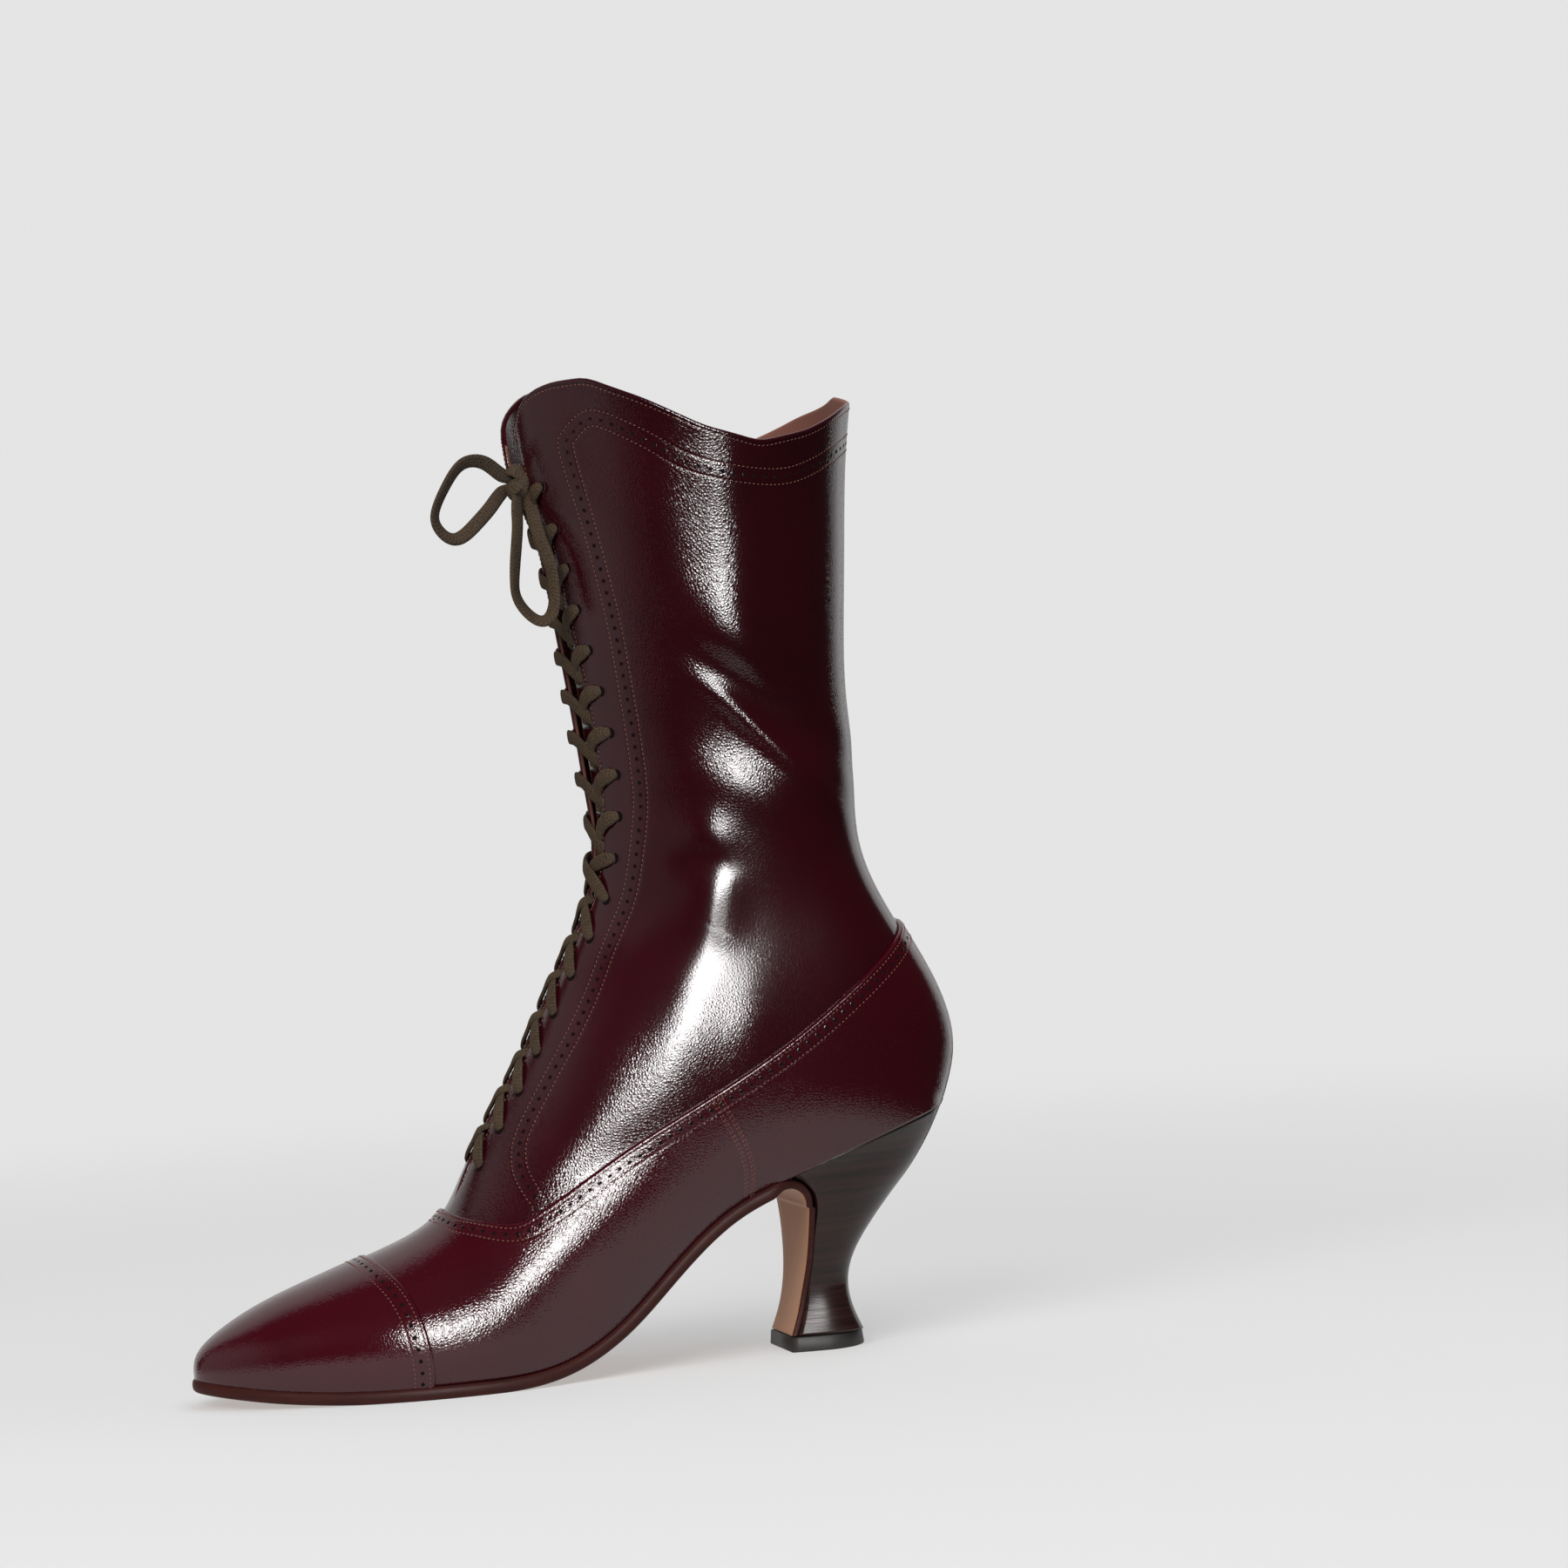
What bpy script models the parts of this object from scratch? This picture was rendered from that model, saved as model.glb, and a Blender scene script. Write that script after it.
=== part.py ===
"""Right boot of an Edwardian laced pair, with a toe cap, a wraparound golosh and a curved heel.

Sizes are in millimetres and turned into metres when a mesh is made. The toe points to -X, the
inner (medial) side of the foot to -Y and the leg to +Z, and the boot stands on z = 0.
"""

import math
from collections import namedtuple

import bmesh
import bpy
import numpy as np

MM = 0.001
GAP = 0.3                 # clearance between pieces that meet
WALL = 1.8                # leather and lining of the upper
OVERLAY_LIFT = 0.45       # inner face of the golosh and toe cap above the upper
GOLOSH_THICK = 1.05
TOE_CAP_THICK = 1.75
TONGUE_LIFT = -2.3        # outer face of the tongue, under the facings
TONGUE_THICK = 1.4
TONGUE_HALF_LOW = 13.0
TONGUE_HALF_TOP = 24.0
SOLE_THICK = 4.0
SOLE_MARGIN = 3.0         # sole edge outside the line where the upper meets it
INSOLE_THICK = 1.6
INSOLE_INSET = 3.2
FLAP_THICK = 2.0          # sole leather that turns down the front of the heel
SOLE_END_THICK = 3.0
BREAST_RADIUS = 6.5       # hollow between the arch and the front of the heel
HEEL_MARGIN = 1.3         # heel edge outside the same line
LIFT_HEIGHT = 4.7
LIFT_FRONT = 62.3
LIFT_BACK = 88.7
LIFT_HALF = 14.0
LIFT_STRAIGHT = 0.45      # share of the lift ahead of its round back
LIFT_NARROWING = 0.95     # width of its front edge against its widest
THROAT_HALF = 3.8         # half the gap between the facings
THROAT_STATION = 7.5
THROAT_TAPER = 1.5
EYELET_ROWS = 18
EYELET_OUT = 12.0         # from the middle of the throat to a row of eyelets
EYELET_LOW_Z = 66.0
EYELET_HIGH_Z = 272.5
LACE_WIDTH = 4.6
LACE_THICK = 1.4
LACE_LIFT = 0.4           # underside of a lace above the facing
LACE_OVER = 0.3           # one lace lies over the other where they cross
LACE_REACH = 0.62         # how far towards the next row a bar climbs before it dives
LACE_PAST_MIDDLE = 2.5
CROSSOVER_ROW = 7         # rows below it are laced from inside, rows above it from outside
LOOP_THICK = 2.6
KNOT_SIZE = (10.2, 8.5, 8.0)
KNOT_AT = (-4.8, -5.0, 274.2)
COLUMNS = 12              # points round one side of the upper
FINE_ROWS = 1400          # stations at which the sole line is read
TONGUE_BELOW_COLLAR = 0.6
TONGUE_BELOW_THROAT = 0.9
TOE_ROUND_X = -98.0       # where the outline begins to close round the toe

# One row a section. The front point lies on the ridge of the foot and leg, the low point on the
# line where the upper meets the sole and then up the back of the heel. medial and lateral are
# half widths from ridge_y. A tuck is the angle, round the section from its low point, at which
# the open underside ends. full_back and full_front shape the section's curve: 1 is an ellipse.
Section = namedtuple(
    "Section",
    "name front_x front_z low_x low_z ridge_y medial lateral tuck_med tuck_lat full_back full_front",
)
SECTIONS = (
    Section("toe_tip", -120.6, 9.0, -120.6, 9.0, -7.0, 13.0, 13.0, 67, 67, 0.90, 0.85),
    Section("toe_nose", -119.4, 15.4, -117.2, 8.4, -7.0, 14.5, 15.0, 67, 67, 0.90, 0.85),
    Section("toe_front", -111.5, 21.8, -109.3, 7.2, -7.0, 17.0, 18.0, 67, 67, 0.90, 0.88),
    Section("toe_mid", -99.5, 28.1, -96.0, 5.5, -7.5, 21.0, 23.0, 66, 66, 0.90, 0.92),
    Section("toe_back", -85.0, 33.6, -79.0, 4.4, -8.0, 26.5, 31.5, 67, 67, 0.90, 0.95),
    Section("cap_line", -70.0, 38.7, -61.0, 4.2, -8.0, 31.0, 41.0, 67, 69, 0.90, 1.00),
    Section("ball", -56.5, 43.4, -43.0, 4.2, -7.5, 32.5, 46.5, 66, 70, 0.90, 1.05),
    Section("vamp_point", -43.5, 50.6, -26.0, 4.7, -6.5, 32.0, 47.5, 62, 70, 0.90, 1.10),
    Section("throat", -36.0, 63.5, -9.5, 8.4, -5.5, 30.5, 45.0, 55, 67, 0.90, 1.12),
    Section("waist", -26.5, 80.0, 7.0, 18.1, -4.5, 30.0, 41.0, 49, 62, 0.90, 1.10),
    Section("instep", -15.5, 97.0, 23.0, 32.4, -3.5, 30.5, 38.0, 44, 57, 0.90, 1.05),
    Section("breast", -7.0, 113.5, 42.0, 47.4, -2.5, 31.5, 36.0, 42, 51, 0.90, 1.00),
    Section("seat_front", 3.0, 131.0, 64.0, 57.0, -1.5, 32.5, 34.5, 43, 47, 0.85, 1.00),
    Section("seat_mid", 10.0, 146.0, 90.0, 66.3, -0.5, 33.0, 34.0, 46, 46, 0.80, 1.00),
    Section("heel_corner", 12.2, 160.0, 116.8, 74.4, 0.0, 33.0, 34.0, 0, 0, 0.78, 1.00),
    Section("heel_bulge", 12.0, 174.0, 121.2, 91.5, 0.0, 33.0, 34.0, 0, 0, 0.78, 1.00),
    Section("heel_neck", 10.5, 188.0, 117.0, 110.0, 0.0, 33.0, 33.5, 0, 0, 0.80, 1.00),
    Section("counter", 9.0, 203.0, 107.4, 129.0, 0.0, 33.0, 33.5, 0, 0, 0.85, 1.00),
    Section("ankle", 7.5, 219.0, 97.5, 151.0, 0.0, 34.0, 34.5, 0, 0, 0.90, 1.00),
    Section("low_leg", 5.2, 238.0, 93.6, 178.0, 0.0, 36.5, 37.0, 0, 0, 0.92, 1.00),
    Section("mid_leg", 2.4, 260.0, 94.8, 212.0, 0.0, 40.0, 40.5, 0, 0, 0.95, 1.00),
    Section("high_leg", 0.0, 285.0, 97.5, 252.0, 0.0, 43.0, 43.0, 0, 0, 0.95, 1.00),
    Section("collar", -1.8, 312.0, 100.0, 304.0, 0.0, 44.5, 44.5, 0, 0, 0.95, 1.00),
)
COLUMN = {name: np.array([getattr(row, name) for row in SECTIONS], float) for name in Section._fields[1:]}
NAMES = [row.name for row in SECTIONS]
HEEL_CORNER = NAMES.index("heel_corner")
TOP = len(SECTIONS) - 1
SOLE_END = 11.75          # station at which the sole leaves the upper for the front of the heel

# Height of the collar's edge by the angle round the leg, from the back (0) to the front (180).
Topline = namedtuple("Topline", "angle height")
TOPLINE = (
    Topline(0, 296.0),
    Topline(30, 291.5),
    Topline(55, 284.5),
    Topline(75, 281.5),
    Topline(95, 287.0),
    Topline(115, 296.5),
    Topline(135, 304.0),
    Topline(150, 303.5),
    Topline(160, 301.0),
    Topline(167, 296.0),
    Topline(173, 288.0),
)

# Edges of the overlays as they run across the boot, seen from the side.
SidePoint = namedtuple("SidePoint", "x z")
GOLOSH_EDGE = (
    SidePoint(-48.0, 60.0),
    SidePoint(-41.6, 52.6),
    SidePoint(-35.4, 50.6),
    SidePoint(-27.3, 49.4),
    SidePoint(-19.0, 52.4),
    SidePoint(-3.0, 62.1),
    SidePoint(20.3, 75.3),
    SidePoint(60.6, 96.9),
    SidePoint(95.6, 122.4),
    SidePoint(113.0, 138.5),
)
CAP_EDGE = (
    SidePoint(-72.0, 46.0),
    SidePoint(-67.4, 40.0),
    SidePoint(-60.8, 31.5),
    SidePoint(-57.0, 20.0),
    SidePoint(-55.4, 9.0),
    SidePoint(-55.4, 0.0),
)

# Front of the heel, down from the hollow under the arch.
Breast = namedtuple("Breast", "z x half")
BREAST = (
    Breast(45.7, 68.9, 22.0),
    Breast(40.0, 69.0, 19.4),
    Breast(33.0, 68.8, 16.6),
    Breast(26.0, 68.2, 14.7),
    Breast(19.0, 67.0, 13.7),
    Breast(12.0, 65.3, 13.2),
    Breast(5.1, 62.8, 13.3),
)

# Curve of the heel's back, from its seat down to the top lift.
HeelRing = namedtuple("HeelRing", "front_z back_x back_z half fullness")
HEEL_RINGS = (
    HeelRing(55.4, 117.6, 74.1, 25.0, 3.0),
    HeelRing(53.5, 112.9, 64.4, 23.8, 2.8),
    HeelRing(49.5, 106.9, 55.0, 21.8, 2.6),
    HeelRing(43.5, 100.6, 47.4, 19.2, 2.5),
    HeelRing(36.0, 93.0, 38.0, 16.6, 2.4),
    HeelRing(28.5, 87.2, 29.5, 14.8, 2.4),
    HeelRing(21.0, 84.4, 21.3, 13.7, 2.4),
    HeelRing(13.0, 84.9, 13.0, 13.2, 2.5),
    HeelRing(5.0, 87.9, 5.0, 13.4, 2.6),
)

# The bow: points of each loop, from the knot and back to it.
FRONT_LOOP = (
    (-10.5, -6.0, 275.5),
    (-15.0, -8.0, 280.3),
    (-19.5, -9.5, 281.3),
    (-24.6, -11.0, 279.6),
    (-29.5, -12.5, 273.5),
    (-33.0, -13.0, 266.7),
    (-32.5, -12.5, 261.2),
    (-27.0, -11.0, 257.6),
    (-20.0, -9.0, 261.9),
    (-14.5, -6.5, 267.0),
    (-10.5, -4.6, 272.2),
)
HANGING_LOOP = (
    (-6.8, -7.6, 270.3),
    (-7.4, -10.5, 260.5),
    (-9.0, -13.0, 252.0),
    (-10.2, -14.5, 244.0),
    (-9.2, -15.0, 237.0),
    (-3.4, -15.5, 231.2),
    (1.2, -15.5, 234.9),
    (1.6, -15.0, 245.0),
    (0.4, -13.5, 251.5),
    (-1.2, -11.5, 258.0),
    (-3.0, -7.8, 270.3),
)


def cubic(values, station, corner=None):
    """Smooth curve through values at 0, 1, 2 and so on, with a sharp turn at one corner."""
    values = np.asarray(values, float)
    slope_in = np.gradient(values)
    slope_out = slope_in.copy()
    if corner is not None:
        slope_in[corner] = values[corner] - values[corner - 1]
        slope_out[corner] = values[corner + 1] - values[corner]
    i = np.clip(np.floor(station).astype(int), 0, len(values) - 2)
    f = station - i
    return (
        values[i] * (2 * f**3 - 3 * f**2 + 1)
        + slope_out[i] * (f**3 - 2 * f**2 + f)
        + values[i + 1] * (3 * f**2 - 2 * f**3)
        + slope_in[i + 1] * (f**3 - f**2)
    )


def column(name, station):
    corner = HEEL_CORNER if name.startswith("low") else None
    return cubic(COLUMN[name], np.asarray(station, float), corner)


def half_width(station, side):
    """Half width of a section on one side, closed round the toe as an ellipse."""
    ahead = (TOE_ROUND_X - column("low_x", station)) / (TOE_ROUND_X - SECTIONS[0].low_x)
    rounding = np.sqrt(1 - np.clip(ahead, 0, 1) ** 2)
    return column("medial" if side < 0 else "lateral", station) * rounding


def tuck_angle(station, side):
    """Angle at which the open underside ends, closing like a square root at the heel corner."""
    station = np.asarray(station, float)
    tucks = np.radians(COLUMN["tuck_med" if side < 0 else "tuck_lat"])
    squared = np.maximum(cubic(tucks**2, station, HEEL_CORNER), 0)
    return np.where(station < HEEL_CORNER, np.sqrt(squared), 0)


def last_point(station, angle, side):
    """Point of the boot's outer form: side -1 is medial, angle runs from the low point to the ridge."""
    station, angle = np.broadcast_arrays(np.asarray(station, float), np.asarray(angle, float))
    start = np.cos(tuck_angle(station, side))
    share = (start - np.cos(angle)) / (start + 1)
    power = np.where(angle < np.pi / 2, column("full_back", station), column("full_front", station))
    out = half_width(station, side) * np.maximum(np.sin(angle), 0) ** power
    low_x = column("low_x", station)
    low_z = column("low_z", station)
    x = low_x + share * (column("front_x", station) - low_x)
    z = low_z + share * (column("front_z", station) - low_z)
    return np.stack([x, column("ridge_y", station) + side * out, z], -1)


def last_offset(station, angle, side, distance):
    """The same point moved out along the form's normal, read just inside the toe tip and the top."""
    step = 0.01
    near = np.clip(station, 2 * step, TOP - 2 * step)
    along = last_point(near + step, angle, side) - last_point(near - step, angle, side)
    around = last_point(near, angle + step, side) - last_point(near, angle - step, side)
    normal = np.cross(around, along) * side
    normal /= np.linalg.norm(normal, axis=-1, keepdims=True)
    return last_point(station, angle, side) + distance * normal


def angle_at(station, side, out):
    """Angle from the ridge at which the form is a given distance from the middle of the throat."""
    share = np.clip(out / np.maximum(half_width(station, side), GAP), 0, 1)
    return np.pi - np.arcsin(share ** (1 / column("full_front", station)))


def throat_angle(station, side):
    """Edge of the facing, which runs out to nothing at the foot of the throat."""
    opening = np.sqrt(np.clip((station - THROAT_STATION) / THROAT_TAPER, 0, 1))
    return np.where(opening > 0, angle_at(station, side, THROAT_HALF * opening), np.pi)


def top_station(angle, side):
    """Station at which the form reaches the collar's edge."""
    rows = np.linspace(TOP - 2, TOP, 60)
    edge = np.interp(np.degrees(angle), [p.angle for p in TOPLINE], [p.height for p in TOPLINE])
    heights = last_point(rows[:, None], angle.ravel()[None, :], side)[..., 2]
    found = [np.interp(z, h, rows) for z, h in zip(edge.ravel(), heights.T)]
    return np.array(found).reshape(angle.shape)


def stations(first=0.0, last=TOP):
    """Rows of the mesh, closer together round the toe and the heel corner."""
    toe = 3 * (1 - np.cos(np.linspace(0, np.pi / 2, 6)[:-1]))
    foot = np.arange(3, HEEL_CORNER - 1, 0.75)
    heel = HEEL_CORNER - np.linspace(1, 0, 6) ** 2
    leg = np.linspace(HEEL_CORNER, TOP, 13)[1:]
    rows = np.concatenate([toe, foot, heel, leg])
    inside = rows[(rows > first + 0.02) & (rows < last - 0.02)]
    return np.concatenate([[first], inside, [last]])


def side_grid(side, lift):
    """Grid of points over one side of the upper, from one point at the toe to the facing and collar."""
    rows = stations()[:, None]
    start = tuck_angle(rows, side)
    angle = start + (throat_angle(rows, side) - start) * np.linspace(0, 1, COLUMNS)
    leg = np.clip((rows - HEEL_CORNER) / (TOP - HEEL_CORNER), 0, 1)
    rows = np.minimum(rows, HEEL_CORNER) + leg * (top_station(angle, side) - HEEL_CORNER)
    grid = last_offset(rows, angle, side, lift)
    tip = SECTIONS[0]
    grid[0] = (tip.low_x - lift, tip.ridge_y, tip.low_z)
    return grid


def tongue_grid(side):
    """Grid of points over one half of the tongue."""
    top = TOP - TONGUE_BELOW_COLLAR
    rows = stations(THROAT_STATION - TONGUE_BELOW_THROAT, top)[:, None]
    climb = (rows - rows[0]) / (top - rows[0])
    half = TONGUE_HALF_LOW + (TONGUE_HALF_TOP - TONGUE_HALF_LOW) * climb
    angle = np.pi + (angle_at(rows, side, half) - np.pi) * np.linspace(1, 0, 4)
    return last_offset(rows, angle, side, TONGUE_LIFT)


def outline(side, margin, rows):
    """Plan of the line where the upper meets the sole, moved outwards by a margin."""
    line = last_point(rows, tuck_angle(rows, side), side)[:, :2]
    fine = np.linspace(0, HEEL_CORNER, FINE_ROWS)
    trace = last_point(fine, tuck_angle(fine, side), side)[:, :2]
    tangent = np.gradient(trace, axis=0)
    normal = np.stack([tangent[:, 1], -tangent[:, 0]], -1) * -side
    normal /= np.linalg.norm(normal, axis=1, keepdims=True)
    push = np.stack([np.interp(rows, fine, normal[:, k]) for k in (0, 1)], -1)
    push[rows == 0] = (-1, 0)
    push[rows == HEEL_CORNER] = (1, 0)
    return line + margin * push


def low_height(x):
    """Height of the line where the upper meets the sole, carried on straight past the toe."""
    fine = np.linspace(0, HEEL_CORNER, FINE_ROWS)
    line_x = column("low_x", fine)
    line_z = column("low_z", fine)
    slope = (line_z[40] - line_z[0]) / (line_x[40] - line_x[0])
    return np.where(x < line_x[0], line_z[0] + slope * (x - line_x[0]), np.interp(x, line_x, line_z))


def collection(name):
    made = bpy.data.collections.new(name)
    bpy.context.scene.collection.children.link(made)
    return made


def material(name, colour, roughness):
    made = bpy.data.materials.new(name)
    made.use_nodes = True
    shader = made.node_tree.nodes["Principled BSDF"]
    shader.inputs["Base Color"].default_value = (*colour, 1)
    shader.inputs["Roughness"].default_value = roughness
    shader.inputs["Metallic"].default_value = 0
    return made


def finish(name, bm, look, home):
    """Object from a bmesh in millimetres."""
    bmesh.ops.remove_doubles(bm, verts=bm.verts[:], dist=0.01)
    bmesh.ops.dissolve_degenerate(bm, edges=bm.edges[:], dist=0.005)
    bmesh.ops.recalc_face_normals(bm, faces=bm.faces[:])
    bmesh.ops.scale(bm, vec=(MM, MM, MM), verts=bm.verts[:])
    mesh = bpy.data.meshes.new(name)
    bm.to_mesh(mesh)
    bm.free()
    mesh.materials.append(look)
    made = bpy.data.objects.new(name, mesh)
    home.objects.link(made)
    return made


def add_grid(bm, grid, closed=False):
    """Triangles over a grid of points, all split the same way, so that layers of one form keep apart.

    A closed grid joins its last column to its first.
    """
    verts = [[bm.verts.new(p) for p in row] for row in grid]
    wide = len(verts[0])
    for low, high in zip(verts, verts[1:]):
        for j in range(wide if closed else wide - 1):
            k = (j + 1) % wide
            bm.faces.new((low[j], low[k], high[k]))
            bm.faces.new((low[j], high[k], high[j]))
    return verts


def face_outwards(bm, centre_line):
    """Turn an open surface so that its first face looks away from the middle of the boot."""
    bmesh.ops.remove_doubles(bm, verts=bm.verts[:], dist=0.01)
    bmesh.ops.recalc_face_normals(bm, faces=bm.faces[:])
    outward = sum(f.normal.y * (f.calc_center_median().y - centre_line) for f in bm.faces)
    if outward < 0:
        bmesh.ops.reverse_faces(bm, faces=bm.faces[:])


def shell(name, grids, thick, outwards, look, home):
    """Open surface given a wall by Solidify, on its outer or its inner side."""
    bm = bmesh.new()
    for grid in grids:
        add_grid(bm, grid)
    face_outwards(bm, 0.0)
    bmesh.ops.scale(bm, vec=(MM, MM, MM), verts=bm.verts[:])
    mesh = bpy.data.meshes.new(name)
    bm.to_mesh(mesh)
    bm.free()
    mesh.materials.append(look)
    made = bpy.data.objects.new(name, mesh)
    home.objects.link(made)
    wall = made.modifiers.new("wall", "SOLIDIFY")
    wall.thickness = thick * MM
    wall.offset = 1 if outwards else -1
    wall.use_even_offset = True
    wall.use_quality_normals = True
    return made


def cutter(name, side_outline, home):
    """Prism across the boot with an outline drawn from the side."""
    reach = 80.0
    bm = bmesh.new()
    near = [bm.verts.new((p[0], -reach, p[1])) for p in side_outline]
    face = bm.faces.new(near)
    grown = bmesh.ops.extrude_face_region(bm, geom=[face])["geom"]
    moved = [v for v in grown if isinstance(v, bmesh.types.BMVert)]
    bmesh.ops.translate(bm, vec=(0, 2 * reach, 0), verts=moved)
    made = finish(name, bm, bpy.data.materials["guide"], home)
    made.hide_render = True
    made.display_type = "WIRE"
    return made


def keep_inside(piece, tool):
    cut = piece.modifiers.new("edge", "BOOLEAN")
    cut.operation = "INTERSECT"
    cut.object = tool
    cut.solver = "EXACT"


def smooth_edge(points, per_span=4):
    """Points of a smooth curve through the rows of an edge table."""
    table = np.array(points)
    t = np.linspace(0, len(table) - 1, per_span * (len(table) - 1) + 1)
    return np.stack([cubic(table[:, k], t) for k in range(table.shape[1])], -1)


def low_edge(first, last):
    """Side view of the line where the upper meets the sole, on the mesh's own rows."""
    rows = stations(first, last)
    return np.stack([column("low_x", rows), column("low_z", rows)], -1)


def make_upper(look, home):
    return shell("upper", [side_grid(s, 0.0) for s in (-1, 1)], WALL, False, look, home)


def make_golosh(look, home, tools):
    """Vamp and counter in one, between the toe cap's edge and the seam that climbs to the back."""
    piece = shell("golosh", [side_grid(s, OVERLAY_LIFT) for s in (-1, 1)], GOLOSH_THICK, True, look, home)
    front = smooth_edge(CAP_EDGE)
    below = low_edge(5.0, HEEL_CORNER)
    below = below[below[:, 0] > front[-1, 0] + 1]
    behind = [(below[-1, 0] + 20, below[-1, 1] + 4), (GOLOSH_EDGE[-1].x + 20, GOLOSH_EDGE[-1].z)]
    foot = [(front[-1, 0], float(low_height(front[-1, 0])))]
    front = front[front[:, 1] > foot[0][1] + 1]
    edge = smooth_edge(GOLOSH_EDGE)[::-1]
    around = np.concatenate([front, foot, below, behind, edge])
    keep_inside(piece, cutter("golosh_cutter", around, tools))
    return piece


def make_toe_cap(look, home, tools):
    piece = shell("toe_cap", [side_grid(s, OVERLAY_LIFT) for s in (-1, 1)], TOE_CAP_THICK, True, look, home)
    edge = smooth_edge(CAP_EDGE) - [GAP, 0]
    foot = [(edge[-1, 0], float(low_height(edge[-1, 0])))]
    edge = edge[edge[:, 1] > foot[0][1] + 1]
    below = low_edge(0.0, 5.4)
    below = below[below[:, 0] < foot[0][0] - 1][::-1]
    tip = below[-1, 0] - 12
    ahead = [(tip, float(low_height(tip))), (tip, edge[0, 1])]
    keep_inside(piece, cutter("toe_cap_cutter", np.concatenate([edge, foot, below, ahead]), tools))
    return piece


def make_tongue(look, home):
    return shell("tongue", [tongue_grid(s) for s in (-1, 1)], TONGUE_THICK, False, look, home)


def strip(name, rings, look, home):
    """Loft through four-cornered rings, closed at both ends."""
    bm = bmesh.new()
    verts = add_grid(bm, rings, closed=True)
    for ring in (verts[0], verts[-1]):
        bm.faces.new(ring)
    return finish(name, bm, look, home)


def make_insole(look, home):
    rows = stations(0.0, HEEL_CORNER)
    medial = outline(-1, -INSOLE_INSET, rows)
    lateral = outline(1, -INSOLE_INSET, rows)
    rings = []
    for a, b in zip(medial, lateral):
        z_a = float(low_height(a[0]))
        z_b = float(low_height(b[0]))
        rings.append(((*a, z_a), (*b, z_b), (*b, z_b + INSOLE_THICK), (*a, z_a + INSOLE_THICK)))
    return strip("insole", rings, look, home)


def sole_ring(a, b, slope):
    """Corners of the sole at one row: its top follows the upper and its tread is never below z = 0."""
    tops = [float(low_height(p[0])) - GAP for p in (a, b)]
    drop = SOLE_THICK / math.cos(slope)
    treads = [max(z - drop, 0.0) for z in tops]
    return (*a, treads[0]), (*b, treads[1]), (*b, tops[1]), (*a, tops[0])


def make_outsole(look, home):
    """Sole from the toe to the arch, turned down the front of the heel as a flap."""
    rows = stations(0.0, SOLE_END)
    medial = outline(-1, SOLE_MARGIN, rows)
    lateral = outline(1, SOLE_MARGIN, rows)
    slopes = np.arctan(np.gradient(column("low_z", rows), column("low_x", rows)))
    rings = [sole_ring(a, b, t) for a, b, t in zip(medial, lateral, slopes)]

    tilt = slopes[-1]
    corner = np.array(rings[-1][3])
    lift = BREAST_RADIUS + SOLE_END_THICK
    hub_x = corner[0] + lift * math.sin(tilt)
    hub_z = corner[2] - lift * math.cos(tilt)
    turn = np.linspace(0, 1, 6)
    for share in turn:
        angle = math.pi / 2 + tilt - share * (math.pi / 2 + tilt)
        outer = BREAST_RADIUS + SOLE_END_THICK + share * (FLAP_THICK - SOLE_END_THICK)
        inner_x = hub_x + BREAST_RADIUS * math.cos(angle)
        inner_z = hub_z + BREAST_RADIUS * math.sin(angle)
        outer_x = hub_x + outer * math.cos(angle)
        outer_z = hub_z + outer * math.sin(angle)
        y_a = medial[-1][1] + share * (-BREAST[0].half - medial[-1][1])
        y_b = lateral[-1][1] + share * (BREAST[0].half - lateral[-1][1])
        ring = (
            (inner_x, y_a, inner_z),
            (inner_x, y_b, inner_z),
            (outer_x, y_b, outer_z),
            (outer_x, y_a, outer_z),
        )
        if share == 0:
            rings[-1] = ring
        else:
            rings.append(ring)
    for row in BREAST[1:]:
        back = row.x + FLAP_THICK
        rings.append((
            (row.x, -row.half, row.z),
            (row.x, row.half, row.z),
            (back, row.half, row.z),
            (back, -row.half, row.z),
        ))
    return strip("outsole", rings, look, home)


def heel_front(z):
    """Front of the heel block, behind the flap of sole leather."""
    hub_x = BREAST[0].x - BREAST_RADIUS
    hub_z = BREAST[0].z
    reach = BREAST_RADIUS + SOLE_END_THICK + GAP
    if z > hub_z:
        return hub_x + math.sqrt(max(reach**2 - (z - hub_z) ** 2, 0.0))
    heights = [b.z for b in reversed(BREAST)]
    places = [b.x for b in reversed(BREAST)]
    thick = FLAP_THICK + (SOLE_END_THICK - FLAP_THICK) * max(0, (z - BREAST[1].z) / (hub_z - BREAST[1].z))
    return float(np.interp(z, heights, places)) + thick + GAP


def make_heel(look, home):
    """Heel block: a straight front, a round back, and a seat that follows the upper."""
    round_back = np.sin(np.linspace(0, np.pi / 2, 9))
    seat_rows = np.linspace(SOLE_END - 0.5, HEEL_CORNER, 200)
    seat = [outline(s, HEEL_MARGIN, seat_rows) for s in (-1, 1)]
    rings = []
    for i, ring in enumerate(HEEL_RINGS):
        front = heel_front(ring.front_z)
        x = front + round_back * (ring.back_x - front)
        curve = ring.half * np.maximum(1 - round_back**ring.fullness, 0) ** (1 / ring.fullness)
        z = ring.front_z + round_back * (ring.back_z - ring.front_z)
        halves = [-curve, curve]
        if i == 0:
            z = low_height(x) - GAP
            halves = [np.interp(x, line[:, 0], line[:, 1]) * (round_back < 1) for line in seat]
        near = np.stack([x, halves[0], z], -1)
        far = np.stack([x, halves[1], z], -1)
        rings.append(np.concatenate([near, far[::-1]]))
    bm = bmesh.new()
    verts = add_grid(bm, rings, closed=True)
    count = len(round_back)
    for ring in (verts[0], verts[-1]):
        for j in range(count - 1):
            bm.faces.new((ring[j], ring[j + 1], ring[-2 - j], ring[-1 - j]))
    return finish("heel", bm, look, home)


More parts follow.
